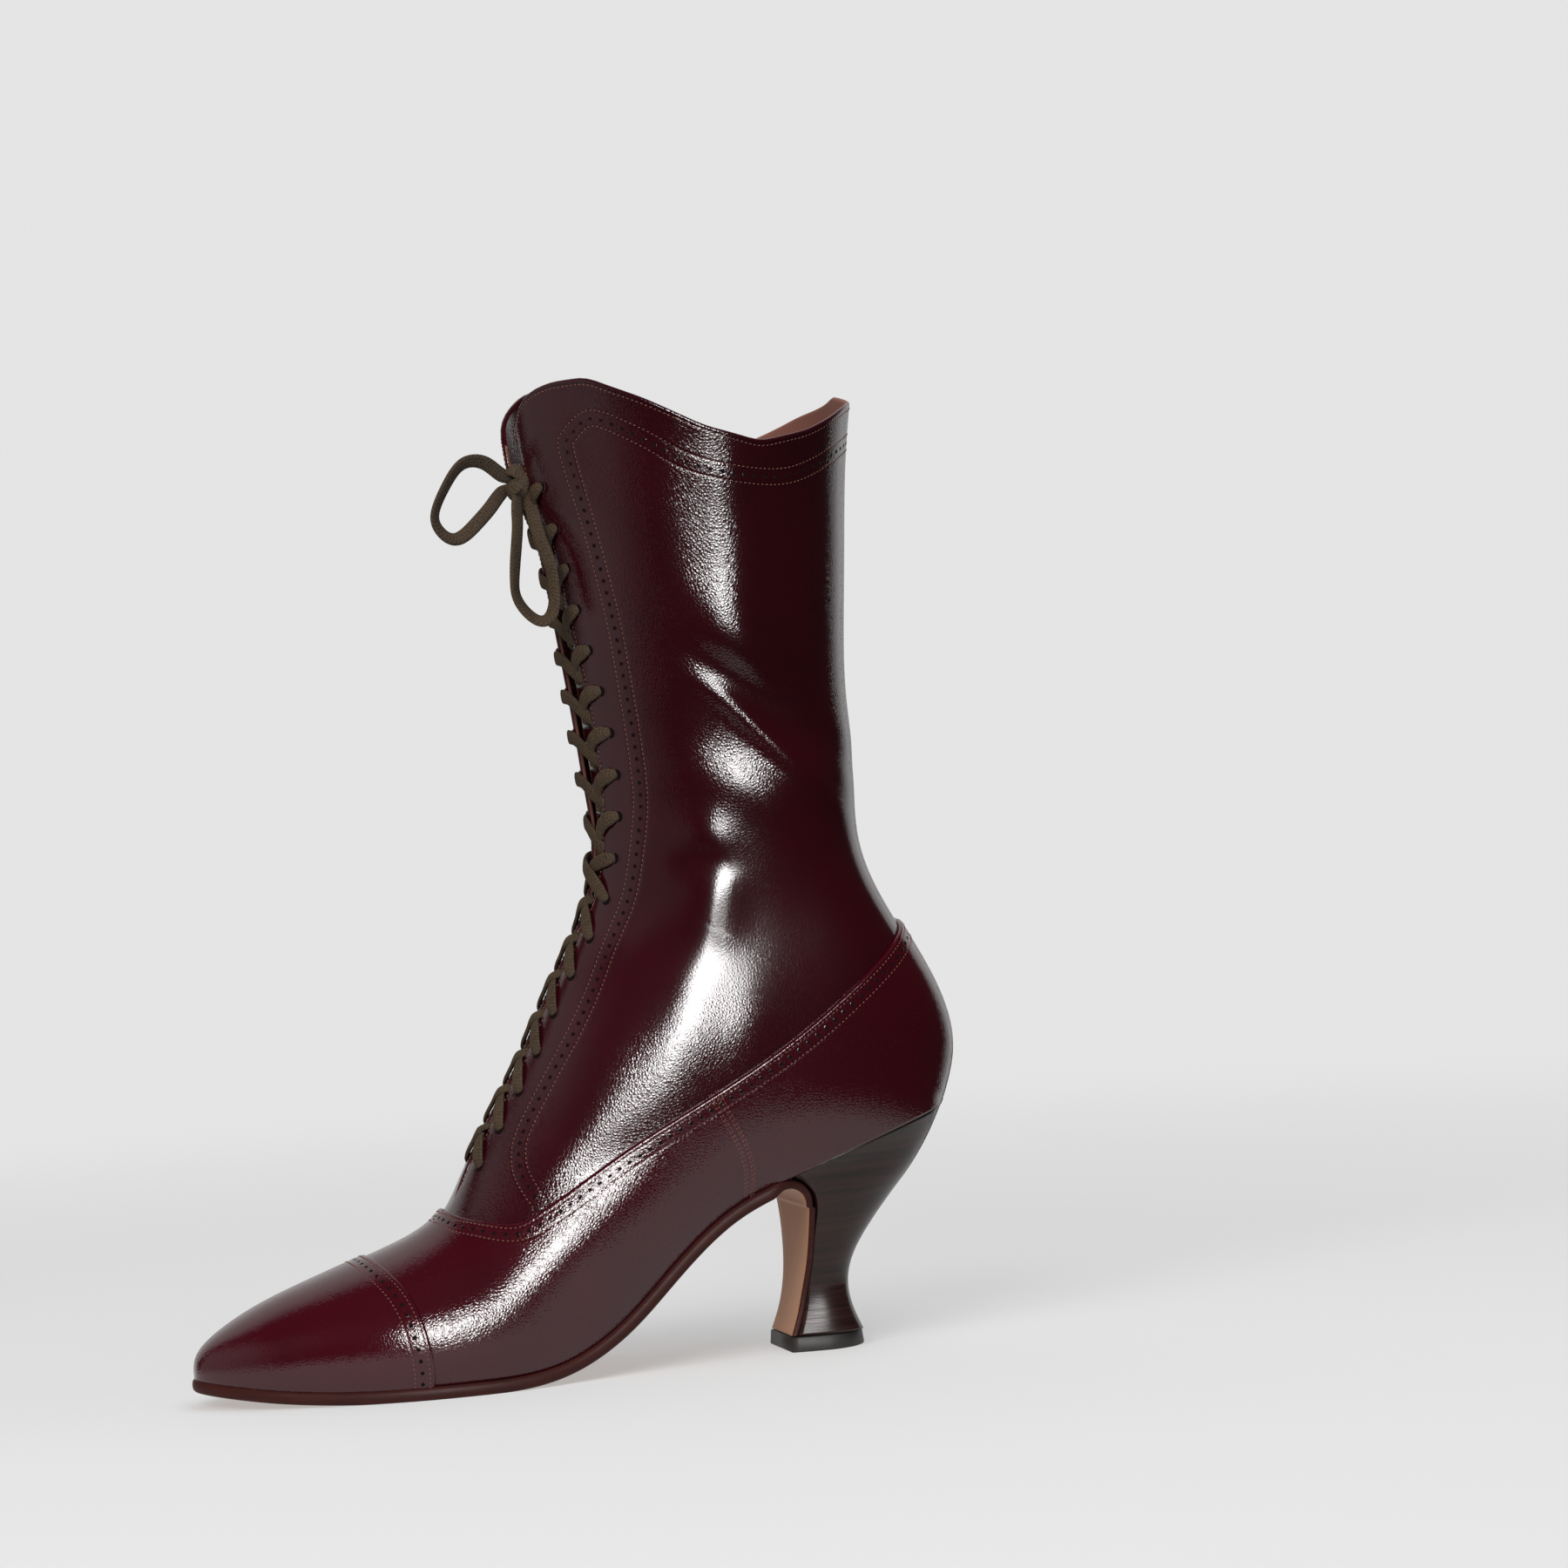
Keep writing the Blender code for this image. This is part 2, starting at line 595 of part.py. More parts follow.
def make_top_lift(look, home):
    """Flat D of sole leather that the heel stands on."""
    turn = np.linspace(-np.pi / 2, np.pi / 2, 15)
    mid = LIFT_FRONT + LIFT_STRAIGHT * (LIFT_BACK - LIFT_FRONT)
    curve = [(mid + (LIFT_BACK - mid) * math.cos(t), LIFT_HALF * math.sin(t)) for t in turn]
    corner = LIFT_HALF * LIFT_NARROWING
    around = [(LIFT_FRONT, -corner), *curve, (LIFT_FRONT, corner)]
    bm = bmesh.new()
    face = bm.faces.new([bm.verts.new((x, y, 0)) for x, y in around])
    grown = bmesh.ops.extrude_face_region(bm, geom=[face])["geom"]
    moved = [v for v in grown if isinstance(v, bmesh.types.BMVert)]
    bmesh.ops.translate(bm, vec=(0, 0, LIFT_HEIGHT), verts=moved)
    return finish("top_lift", bm, look, home)


def eyelet_stations():
    """Stations of the eyelet rows, evenly spaced along the edge of the medial facing."""
    fine = np.linspace(THROAT_STATION, TOP, 800)
    line = last_point(fine, angle_at(fine, -1, EYELET_OUT), -1)
    run = np.concatenate([[0], np.cumsum(np.linalg.norm(np.diff(line, axis=0), axis=1))])
    first, last = (np.interp(z, line[:, 2], run) for z in (EYELET_LOW_Z, EYELET_HIGH_Z))
    return np.interp(np.linspace(first, last, EYELET_ROWS), run, fine)


def lace_bar(bm, start, end, lift):
    """Flat bar over the throat between two places given as a station and a distance from the middle."""
    steps = np.linspace(0, 1, 2 + int(abs(end[1] - start[1]) / LACE_WIDTH))
    station = start[0] + steps * (end[0] - start[0])
    across = start[1] + steps * (end[1] - start[1])

    def place(height):
        points = [
            last_offset(np.array(s), angle_at(s, side, abs(c)), side, height)
            for s, c, side in zip(station, across, np.where(across < 0, -1, 1))
        ]
        return np.array(points)

    low = place(lift)
    high = place(lift + LACE_THICK)
    forward = np.gradient(low, axis=0)
    out = high - low
    sideways = np.cross(out, forward)
    sideways *= LACE_WIDTH / 2 / np.linalg.norm(sideways, axis=1, keepdims=True)
    rings = np.stack([low - sideways, low + sideways, high + sideways, high - sideways], 1)
    verts = add_grid(bm, rings, closed=True)
    for ring in (verts[0], verts[-1]):
        bm.faces.new(ring)


def make_crossing(row, rows, look, home, tools):
    """Two bars that cross over the throat, joined into one solid."""
    pitch = rows[row + 1] - rows[row] if row < CROSSOVER_ROW else rows[row] - rows[row - 1]
    if row == CROSSOVER_ROW:
        ends = [((rows[row], -s * EYELET_OUT), (rows[row + 1], s * EYELET_OUT)) for s in (-1, 1)]
    else:
        climb = LACE_REACH * pitch * (1 if row < CROSSOVER_ROW else -1)
        ends = [((rows[row], -s * EYELET_OUT), (rows[row] + climb, s * LACE_PAST_MIDDLE)) for s in (-1, 1)]
    under = bmesh.new()
    lace_bar(under, *ends[0], LACE_LIFT)
    over = bmesh.new()
    lace_bar(over, *ends[1], LACE_LIFT + LACE_OVER)
    piece = finish(f"lace_{row + 1:02d}", under, look, home)
    other = finish(f"lace_{row + 1:02d}_over", over, look, tools)
    other.hide_render = True
    other.display_type = "WIRE"
    join = piece.modifiers.new("cross", "BOOLEAN")
    join.operation = "UNION"
    join.object = other
    join.solver = "EXACT"


def make_knot(look, home):
    bm = bmesh.new()
    bmesh.ops.create_uvsphere(bm, u_segments=12, v_segments=7, radius=0.5)
    bmesh.ops.scale(bm, vec=KNOT_SIZE, verts=bm.verts[:])
    bmesh.ops.translate(bm, vec=KNOT_AT, verts=bm.verts[:])
    return finish("lace_knot", bm, look, home)


def make_loop(name, route, look, home):
    """Loop of the bow as a tube along a smooth curve through its route."""
    points = smooth_edge(route, 2)
    curve = bpy.data.curves.new(name, "CURVE")
    curve.dimensions = "3D"
    spline = curve.splines.new("POLY")
    spline.points.add(len(points) - 1)
    for place, p in zip(spline.points, points):
        place.co = (*(p * MM), 1)
    curve.bevel_depth = LOOP_THICK / 2 * MM
    curve.bevel_resolution = 2
    curve.use_fill_caps = True
    curve.materials.append(look)
    made = bpy.data.objects.new(name, curve)
    home.objects.link(made)
    return made


def main():
    for thing in list(bpy.data.objects):
        bpy.data.objects.remove(thing, do_unlink=True)
    boot = collection("edwardian_boot")
    tools = collection("cutters")
    material("guide", (0.5, 0.5, 0.5), 0.8)
    leather = material("burgundy_leather", (0.10, 0.012, 0.016), 0.22)
    lining = material("tan_lining", (0.55, 0.33, 0.22), 0.6)
    sole_leather = material("sole_leather", (0.45, 0.27, 0.16), 0.5)
    stack = material("heel_stack", (0.05, 0.018, 0.014), 0.35)
    lift = material("lift_rubber", (0.02, 0.018, 0.017), 0.7)
    cotton = material("lace_cotton", (0.11, 0.075, 0.045), 0.8)

    make_upper(leather, boot)
    make_golosh(leather, boot, tools)
    make_toe_cap(leather, boot, tools)
    make_tongue(leather, boot)
    make_insole(lining, boot)
    make_outsole(sole_leather, boot)
    make_heel(stack, boot)
    make_top_lift(lift, boot)
    rows = eyelet_stations()
    for row in range(EYELET_ROWS):
        if row != CROSSOVER_ROW + 1:
            make_crossing(row, rows, cotton, boot, tools)
    make_knot(cotton, boot)
    make_loop("lace_loop_front", FRONT_LOOP, cotton, boot)
    make_loop("lace_loop_hanging", HANGING_LOOP, cotton, boot)


main()
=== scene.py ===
# %% [markdown]
# # A burgundy Edwardian boot
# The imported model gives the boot's frame: every piece below is made at its real size in that frame, rides on
# its one body, and stands for the plain solid of the same name. Sizes are in millimetres until a mesh is made.

# %% The frame
import math

import bmesh
import bpy
import numpy as np
from mathutils import Matrix


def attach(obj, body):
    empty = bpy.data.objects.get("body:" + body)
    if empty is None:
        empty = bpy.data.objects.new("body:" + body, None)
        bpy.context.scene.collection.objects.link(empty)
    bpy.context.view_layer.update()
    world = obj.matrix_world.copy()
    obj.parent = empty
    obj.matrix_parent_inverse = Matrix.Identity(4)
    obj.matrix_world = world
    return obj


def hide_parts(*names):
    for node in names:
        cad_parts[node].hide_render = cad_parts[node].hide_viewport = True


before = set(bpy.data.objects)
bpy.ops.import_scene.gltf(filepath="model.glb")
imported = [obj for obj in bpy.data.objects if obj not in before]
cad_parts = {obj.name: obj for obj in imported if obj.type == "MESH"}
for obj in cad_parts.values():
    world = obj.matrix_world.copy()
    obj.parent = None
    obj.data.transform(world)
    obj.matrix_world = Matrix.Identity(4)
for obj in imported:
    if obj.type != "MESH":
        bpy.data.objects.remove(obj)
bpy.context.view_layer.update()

MM = 0.001
MEDIAL, LATERAL = -1, 1
SIDES = (MEDIAL, LATERAL)

# %% [markdown]
# ## Camera
# The photograph was taken level with the shaft through a long lens, from the boot's inner side and a little
# ahead of it, and the boot leans a few degrees in the frame. The lean is put in the camera's roll, so the
# boot itself stands flat on the floor.

# %% The camera
YAW, ELEVATION, ROLL = np.radians([15.0, 1.2, 3.6])
CAMERA_AT = np.array([-342.5, -1556.7, 209.8])
LENS = 118.4
SENSOR = 36.0


def camera_axes():
    """Right, up and forward: yaw and elevation aim the view, and the roll turns right and up about it."""
    forward = np.array([
        math.sin(YAW) * math.cos(ELEVATION),
        math.cos(YAW) * math.cos(ELEVATION),
        -math.sin(ELEVATION),
    ])
    level = np.array([math.cos(YAW), -math.sin(YAW), 0.0])
    above = np.cross(level, forward)
    right = level * math.cos(ROLL) - above * math.sin(ROLL)
    up = above * math.cos(ROLL) + level * math.sin(ROLL)
    return right, up, forward


def make_camera():
    right, up, forward = camera_axes()
    lens = bpy.data.cameras.new("camera")
    lens.lens = LENS
    lens.sensor_width = SENSOR
    lens.clip_start = 0.05
    made = bpy.data.objects.new("camera", lens)
    place = np.eye(4)
    place[:3, 0], place[:3, 1], place[:3, 2] = right, up, -forward
    place[:3, 3] = CAMERA_AT * MM
    made.matrix_world = Matrix(place.tolist())
    bpy.context.scene.collection.objects.link(made)
    bpy.context.scene.camera = made


make_camera()
print("camera", np.round(CAMERA_AT), "mm, lens", LENS)

# %% [markdown]
# ## The last
# A boot is drawn on a last, so one function gives its whole outer form. Each row of the table is a section
# from the ridge of the foot or leg down to the sole line, or to the back of the heel. A smooth cubic runs
# through every column, and a section's outline is a bent ellipse. A glossy skin shows every kink, so the form
# is also averaged a little along its length, except at the sole's edge and the toe.

# %% The last's sections
COLUMN_NAMES = (
    "front_x front_z low_x low_z ridge_y medial lateral tuck_medial tuck_lateral back front"
).split()
SECTIONS = np.array([
    (-120.6, 9.0, -120.6, 9.0, -7.0, 13.0, 13.0, 67, 67, 0.90, 0.85),   # toe tip
    (-119.4, 15.4, -117.2, 8.4, -7.0, 14.5, 15.0, 67, 67, 0.90, 0.85),  # toe nose
    (-111.5, 21.8, -109.3, 7.2, -7.0, 17.0, 18.0, 67, 67, 0.90, 0.88),  # toe front
    (-99.5, 28.1, -96.0, 5.5, -7.5, 21.0, 23.0, 66, 66, 0.90, 0.92),    # toe middle
    (-85.0, 33.6, -79.0, 4.4, -8.0, 26.5, 31.5, 67, 67, 0.90, 0.95),    # toe back
    (-70.0, 38.7, -61.0, 4.2, -8.0, 31.0, 41.0, 67, 69, 0.90, 1.00),    # cap line
    (-56.5, 43.4, -43.0, 4.2, -7.5, 32.5, 46.5, 66, 70, 0.90, 1.05),    # ball
    (-43.5, 50.6, -26.0, 4.7, -6.5, 32.0, 47.5, 62, 70, 0.90, 1.10),    # vamp point
    (-36.0, 63.5, -9.5, 8.4, -5.5, 30.5, 45.0, 55, 67, 0.90, 1.12),     # throat
    (-26.5, 80.0, 7.0, 18.1, -4.5, 30.0, 41.0, 49, 62, 0.90, 1.10),     # waist
    (-15.5, 97.0, 23.0, 32.4, -3.5, 30.5, 38.0, 44, 57, 0.90, 1.05),    # instep
    (-7.0, 113.5, 42.0, 47.4, -2.5, 31.5, 36.0, 42, 51, 0.90, 1.00),    # breast
    (3.0, 131.0, 64.0, 57.0, -1.5, 32.5, 34.5, 43, 47, 0.85, 1.00),     # seat front
    (10.0, 146.0, 90.0, 66.3, -0.5, 33.0, 34.0, 46, 46, 0.80, 1.00),    # seat middle
    (12.2, 160.0, 116.8, 74.4, 0.0, 33.0, 34.0, 0, 0, 0.78, 1.00),      # heel corner
    (12.0, 174.0, 121.2, 91.5, 0.0, 33.0, 34.0, 0, 0, 0.78, 1.00),      # heel bulge
    (10.5, 188.0, 117.0, 110.0, 0.0, 33.0, 33.5, 0, 0, 0.80, 1.00),     # heel neck
    (9.0, 203.0, 107.4, 129.0, 0.0, 33.0, 33.5, 0, 0, 0.85, 1.00),      # counter
    (7.5, 219.0, 97.5, 151.0, 0.0, 34.0, 34.5, 0, 0, 0.90, 1.00),       # ankle
    (5.2, 238.0, 93.6, 178.0, 0.0, 36.5, 37.0, 0, 0, 0.92, 1.00),       # low leg
    (2.4, 260.0, 94.8, 212.0, 0.0, 40.0, 40.5, 0, 0, 0.95, 1.00),       # middle leg
    (0.0, 285.0, 97.5, 252.0, 0.0, 43.0, 43.0, 0, 0, 0.95, 1.00),       # high leg
    (-1.8, 312.0, 100.0, 304.0, 0.0, 44.5, 44.5, 0, 0, 0.95, 1.00),     # collar
])
COLUMNS = dict(zip(COLUMN_NAMES, SECTIONS.T))
HEEL_CORNER = 14
TOP = len(SECTIONS) - 1
TOE_ROUND_X = -98.0
STEP = 0.01
TAPS = np.linspace(-0.75, 0.75, 7)
TAP_SHARES = np.exp(-((TAPS / 0.4) ** 2))
TAP_SHARES /= TAP_SHARES.sum()


def ease(x, low, high):
    """Smooth step: 0 below low, 1 above high, and 3t^2 - 2t^3 between them."""
    t = np.clip((x - low) / (high - low), 0, 1)
    return t * t * (3 - 2 * t)


def knot_slopes(values):
    """Slopes of the cubic through evenly spaced values whose bend is continuous: one linear system."""
    count = len(values)
    system = 4 * np.eye(count) + np.eye(count, k=1) + np.eye(count, k=-1)
    system[0, 0] = system[-1, -1] = 2
    steps = np.concatenate([values[1:2] - values[:1], values[2:] - values[:-2], values[-1:] - values[-2:-1]])
    return np.linalg.solve(system, 3 * steps)


def smoothed(values, reach):
    """Mean of each value and its neighbours within reach on both sides."""
    count = 2 * reach + 1
    return np.convolve(np.pad(values, reach, mode="edge"), np.full(count, 1 / count), "valid")


def cubic(values, at, corner=None):
    """Smooth curve through values at 0, 1, 2 and so on, with a sharp turn at one corner."""
    values = np.asarray(values, float)
    arrive = knot_slopes(values)
    leave = arrive.copy()
    if corner is not None:
        before = knot_slopes(values[: corner + 1])
        after = knot_slopes(values[corner:])
        arrive = np.concatenate([before, after[1:]])
        leave = np.concatenate([before[:-1], after])
    i = np.clip(np.floor(at).astype(int), 0, len(values) - 2)
    f = at - i
    return (
        values[i] * (2 * f**3 - 3 * f**2 + 1)
        + leave[i] * (f**3 - 2 * f**2 + f)
        + values[i + 1] * (3 * f**2 - 2 * f**3)
        + arrive[i + 1] * (f**3 - f**2)
    )


def route(points, per_span):
    """Smooth curve through a list of points, with per_span steps from each to the next."""
    table = np.asarray(points, float)
    at = np.linspace(0, len(table) - 1, per_span * (len(table) - 1) + 1)
    return np.stack([cubic(table[:, k], at) for k in range(table.shape[1])], -1)


def unit(vectors):
    """Vectors of the same directions and length 1."""
    return vectors / np.linalg.norm(vectors, axis=-1, keepdims=True)


def square_to(vectors, axes):
    """Unit vectors of what is left of vectors without their share along unit axes."""
    return unit(vectors - (vectors * axes).sum(-1, keepdims=True) * axes)


def run_length(points):
    """Distance along a line of points, from its first one."""
    steps = np.linalg.norm(np.diff(points, axis=0), axis=-1)
    return np.concatenate([np.zeros_like(steps[:1]), np.cumsum(steps, axis=0)])


def column(name, station):
    return cubic(COLUMNS[name], station, HEEL_CORNER if name.startswith("low") else None)


def half_width(station, side):
    """Half width of a section on one side, closed round the toe as an ellipse."""
    ahead = (TOE_ROUND_X - column("low_x", station)) / (TOE_ROUND_X - SECTIONS[0, 2])
    return column("medial" if side < 0 else "lateral", station) * np.sqrt(1 - np.clip(ahead, 0, 1) ** 2)


def tuck_angle(station, side):
    """Angle at which the open underside ends, closing like a square root at the heel corner."""
    tucks = np.radians(COLUMNS["tuck_medial" if side < 0 else "tuck_lateral"])
    squared = np.maximum(cubic(tucks**2, station, HEEL_CORNER), 0)
    return np.where(station < HEEL_CORNER, np.sqrt(squared), 0)


def sharp_form(station, angle, side):
    """Section point: its place from low to front goes as the cosine, its width as a power of the sine."""
    start = np.cos(tuck_angle(station, side))
    share = (start - np.cos(angle)) / (start + 1)
    bend = ease(angle, np.radians(60), np.radians(120))
    power = column("back", station) * (1 - bend) + column("front", station) * bend
    out = half_width(station, side) * np.maximum(np.sin(angle), 0) ** power
    low_x = column("low_x", station)
    low_z = column("low_z", station)
    x = low_x + share * (column("front_x", station) - low_x)
    z = low_z + share * (column("front_z", station) - low_z)
    return np.stack([x, column("ridge_y", station) + side * out, z], -1)


def form(station, angle, side):
    """The sharp form mixed with its bell-weighted mean over neighbouring stations."""
    station, angle = np.broadcast_arrays(np.asarray(station, float), np.asarray(angle, float))
    sharp = sharp_form(station, angle, side)
    soft = sum(
        share * sharp_form(np.clip(station + tap, 0, TOP), angle, side)
        for tap, share in zip(TAPS, TAP_SHARES)
    )
    weight = ease(angle - tuck_angle(station, side), 0.15, 0.9) * ease(station, 3.5, 6)
    weight = weight * (1 - ease(station, TOP - 1.2, TOP - 0.7))
    return sharp + weight[..., None] * (soft - sharp)


def form_normal(station, angle, side):
    """Unit normal: the cross product of the form's two directions, from small differences."""
    near = np.clip(station, 2 * STEP, TOP - 2 * STEP)
    along = form(near + STEP, angle, side) - form(near - STEP, angle, side)
    around = form(near, angle + STEP, side) - form(near, angle - STEP, side)
    normal = np.cross(around, along) * side
    return normal / np.maximum(np.linalg.norm(normal, axis=-1, keepdims=True), 1e-9)


print("sections", len(SECTIONS), "from the toe to the collar")

# %% [markdown]
# ## Creases
# A worn shaft folds at the ankle. Each crease is drawn as a line in the side view, in the boot's own
# millimetres, with a height (below zero for a trough) and a width, and it fades towards its two ends.

# %% The creases
CREASES = {
    # points (x, z), height, width
    MEDIAL: (
        (((30, 225), (50, 211.5), (66, 198), (82, 186), (96, 177)), -1.2, 5.2),  # long trough across the leg
        (((36, 213), (46, 205.5), (57, 195), (68, 183.5), (78, 173), (86, 163)), 1.4, 3.3),  # sharp fold
        (((26, 185), (46, 179), (68, 168)), 1.5, 9.0),  # bulge under the fold
        (((46, 200), (46, 180), (46, 168)), -0.9, 15.0),  # that bulge's flat face
        (((44, 236), (52, 224), (60, 211)), 2.3, 10.5),  # foot of the calf
        (((51, 259), (53, 247), (54, 234)), 0.8, 9.0),  # calf
        (((50, 284), (51, 271), (52, 258)), 1.0, 8.5),  # top of the calf
        (((39, 164.5), (41, 164), (43, 163.5)), 1.3, 8.3),  # small round swelling
        (((34, 156), (41, 155), (48, 153.5)), -0.9, 5.0),  # hollow under it
        (((37, 146), (36, 130), (33, 114), (26, 97), (18, 84)), 1.4, 11.0),  # front of the ankle
        (((44, 164), (43, 146), (39, 128)), 1.7, 8.2),  # ankle
        (((68, 158), (70, 142), (70, 126)), -1.8, 19.0),  # hollow behind the ankle
        (((0, 330), (30, 326), (60, 316), (100, 316)), 10.0, 30.0),  # spring of the collar
        (((14, 56), (-6, 44), (-27, 28), (-46, 19)), 1.4, 10.0),  # side of the ball
        (((20, 74), (4, 66), (-12, 57)), -1.0, 9.0),  # waist
        (((86, 192), (82, 181), (78, 170)), 3.2, 19.0),  # bulge behind the fold
        (((52, 116), (50, 105), (43, 94)), 1.0, 11.0),  # foot of the ankle
    ),
    LATERAL: (
        (((22, 224), (44, 211), (64, 198), (88, 184)), -0.9, 6.5),
        (((32, 207), (50, 196), (68, 182)), 1.0, 4.5),
        (((30, 186), (50, 177), (68, 166)), 1.3, 10.0),
        (((46, 262), (50, 240), (54, 218)), 1.0, 12.0),
        (((40, 160), (38, 140), (34, 120)), 1.4, 12.0),
        (((68, 172), (70, 152), (70, 128)), -1.5, 20.0),
        (((0, 306), (30, 303), (60, 292), (100, 294)), 3.0, 30.0),
    ),
}
BELL_SPACING = 0.6  # of a crease's width
BACK_X = 40.0       # behind this the creases die away towards the back seam
BACK_FADE = 14.0    # over this distance from it
GAPE_SPRING = 1.2  # how far the outer facing stands forward where the lacing gapes
TOP_SPRING = 5.2   # how far the free corners above the lacing curl forward


def crease_height(points, side):
    """Sum over the creases of a chain of round bells, whose heights follow a half sine along the line.

    Behind the ankle the sum dies away towards the back seam, so that the two sides meet there.
    """
    x, z = points[..., 0], points[..., 2]
    total = np.zeros(x.shape)
    for corners, height, width in CREASES[side]:
        line = route(corners, 16)
        run = run_length(line)
        count = max(3, int(run[-1] / (BELL_SPACING * width)) + 2)
        at = np.linspace(0, run[-1], count)
        bells = np.stack([np.interp(at, run, line[:, k]) for k in (0, 1)], -1)
        shares = np.sin(np.pi * (np.arange(count) + 0.5) / count)
        shares /= (shares * np.exp(-((bells - bells[count // 2]) ** 2).sum(1) / width**2)).sum()
        for (bell_x, bell_z), share in zip(bells, shares):
            total += height * share * np.exp(-((x - bell_x) ** 2 + (z - bell_z) ** 2) / width**2)
    return total * np.where(x > BACK_X, ease(np.abs(points[..., 1]), 0, BACK_FADE), 1)


def facing_spring(points, side):
    """Forward curl of the facings: strongest at the edge of the throat, gone a hand's thickness behind it."""
    out, z = np.abs(points[..., 1]), points[..., 2]
    near = ease(out, 0, 7) * (1 - ease(out, 9, 32)) * (points[..., 0] < 40)
    gape = GAPE_SPRING * ease(z, 160, 185) if side == LATERAL else 0.0
    return near * (gape + TOP_SPRING * ease(z, 249, 282))


def skin(station, angle, side, lift=0.0):
    """Outer skin of the leather: the form, its creases, and a lift along the normal."""
    base = form(station, angle, side)
    height = lift + crease_height(base, side) + facing_spring(base, side)
    return base + height[..., None] * form_normal(station, angle, side)


print("creases", sum(len(rows) for rows in CREASES.values()))

# %% [markdown]
# ## Shader sums
# A finish is easier to read as a sum than as a picture of nodes. A Term wraps a socket, so that arithmetic on
# it adds Math nodes, and a Finish adds every other node through one method.


# %% Finishes as expressions
class Term:
    """A shader value that takes part in Python arithmetic."""

    def __init__(self, finish, socket):
        self.finish = finish
        self.socket = socket

    def math(self, operation, *others):
        return self.finish.node("ShaderNodeMath", {"operation": operation}, dict(enumerate((self, *others))))

    def __add__(self, other):
        return self.math("ADD", other)

    def __sub__(self, other):
        return self.math("SUBTRACT", other)

    def __mul__(self, other):
        return self.math("MULTIPLY", other)

    def __truediv__(self, other):
        return self.math("DIVIDE", other)

    def __rsub__(self, other):
        return self.finish.node("ShaderNodeMath", {"operation": "SUBTRACT"}, {0: other, 1: self})

    __radd__ = __add__
    __rmul__ = __mul__

    def bell(self, centre, width):
        """1 at the centre, falling off as exp of minus the square of the distance in widths."""
        away = (self - centre) / width
        return (away * away * -1).math("EXPONENT")


class Nodes:
    """A node tree that grows one node at a time."""

    def __init__(self, tree):
        self.tree = tree

    def feed(self, socket, value):
        if isinstance(value, Term):
            self.tree.links.new(value.socket, socket)
        else:
            socket.default_value = value

    def node(self, kind, settings=None, sockets=None, out=0):
        made = self.tree.nodes.new(kind)
        for key, value in (settings or {}).items():
            setattr(made, key, value)
        for key, value in (sockets or {}).items():
            self.feed(made.inputs[key], value)
        return Term(self, made.outputs[out])

    def mix(self, first, second, share):
        """Colour between two colours."""
        return self.node("ShaderNodeMix", {"data_type": "RGBA"}, {0: share, 6: first, 7: second}, out=2)


class Finish(Nodes):
    """A material and the nodes that feed its Principled shader."""

    def __init__(self, name, **constants):
        self.material = bpy.data.materials.new(name)
        self.material.use_nodes = True
        super().__init__(self.material.node_tree)
        self.shader = self.tree.nodes["Principled BSDF"]
        for key, value in constants.items():
            self.shader.inputs[key.replace("_", " ")].default_value = value
        self.place = self.node("ShaderNodeTexCoord", out="Object")

    def noise(self, size_mm, detail=2.0, stretch=(1, 1, 1)):
        """Cloudy value from 0 to 1, with clouds about size_mm across."""
        scaled = self.node(
            "ShaderNodeMapping", {"vector_type": "POINT"}, {"Vector": self.place, "Scale": stretch}
        )
        sockets = {"Vector": scaled, "Scale": 1 / (size_mm * MM), "Detail": detail}
        return self.node("ShaderNodeTexNoise", None, sockets)

    def cells(self, size_mm):
        """Distance to the edge of small cells, like the pebbles of leather grain."""
        return self.node(
            "ShaderNodeTexVoronoi",
            {"feature": "DISTANCE_TO_EDGE"},
            {"Vector": self.place, "Scale": 1 / (size_mm * MM)},
        )

    def attribute(self, name):
        return self.node("ShaderNodeAttribute", {"attribute_name": name}, out="Fac")

    def finish(self, colour, roughness, relief_mm=None, **others):
        """Link colour, roughness and a relief in millimetres to the shader."""
        self.feed(self.shader.inputs["Base Color"], colour)
        self.feed(self.shader.inputs["Roughness"], roughness)
        for key, value in others.items():
            self.feed(self.shader.inputs[key.replace("_", " ")], value)
        if relief_mm is not None:
            bump = self.node("ShaderNodeBump", None, {"Distance": MM, "Strength": 1.0, "Height": relief_mm})
            self.feed(self.shader.inputs["Normal"], bump)
        return self.material


print("shader terms ready")

# %% [markdown]
# ## The finishes
# Polished oxblood calf is nearly black in shade and deep red where light gets into it. Its gloss is one sharp
# lobe, and a fine pebbled grain breaks the edges of every highlight into sparks. Stitching pulls the leather
# into a shallow groove, read from two distances that the pieces carry: to their own edge and to the pinhole
# line.

# %% Leather, lining, sole, heel, lace and thread
EDGE_ROW = 1.6
BAND_ROWS = 2.4
GROOVE = 0.45
FAR = 99.0
PULLED_Z, PULLED_SPAN = 0.135, 0.035  # metres up the leg where the leather is stretched smooth
OXBLOOD = (0.060, 0.0022, 0.0068, 1)
OXBLOOD_DARK = (0.020, 0.0014, 0.0034, 1)


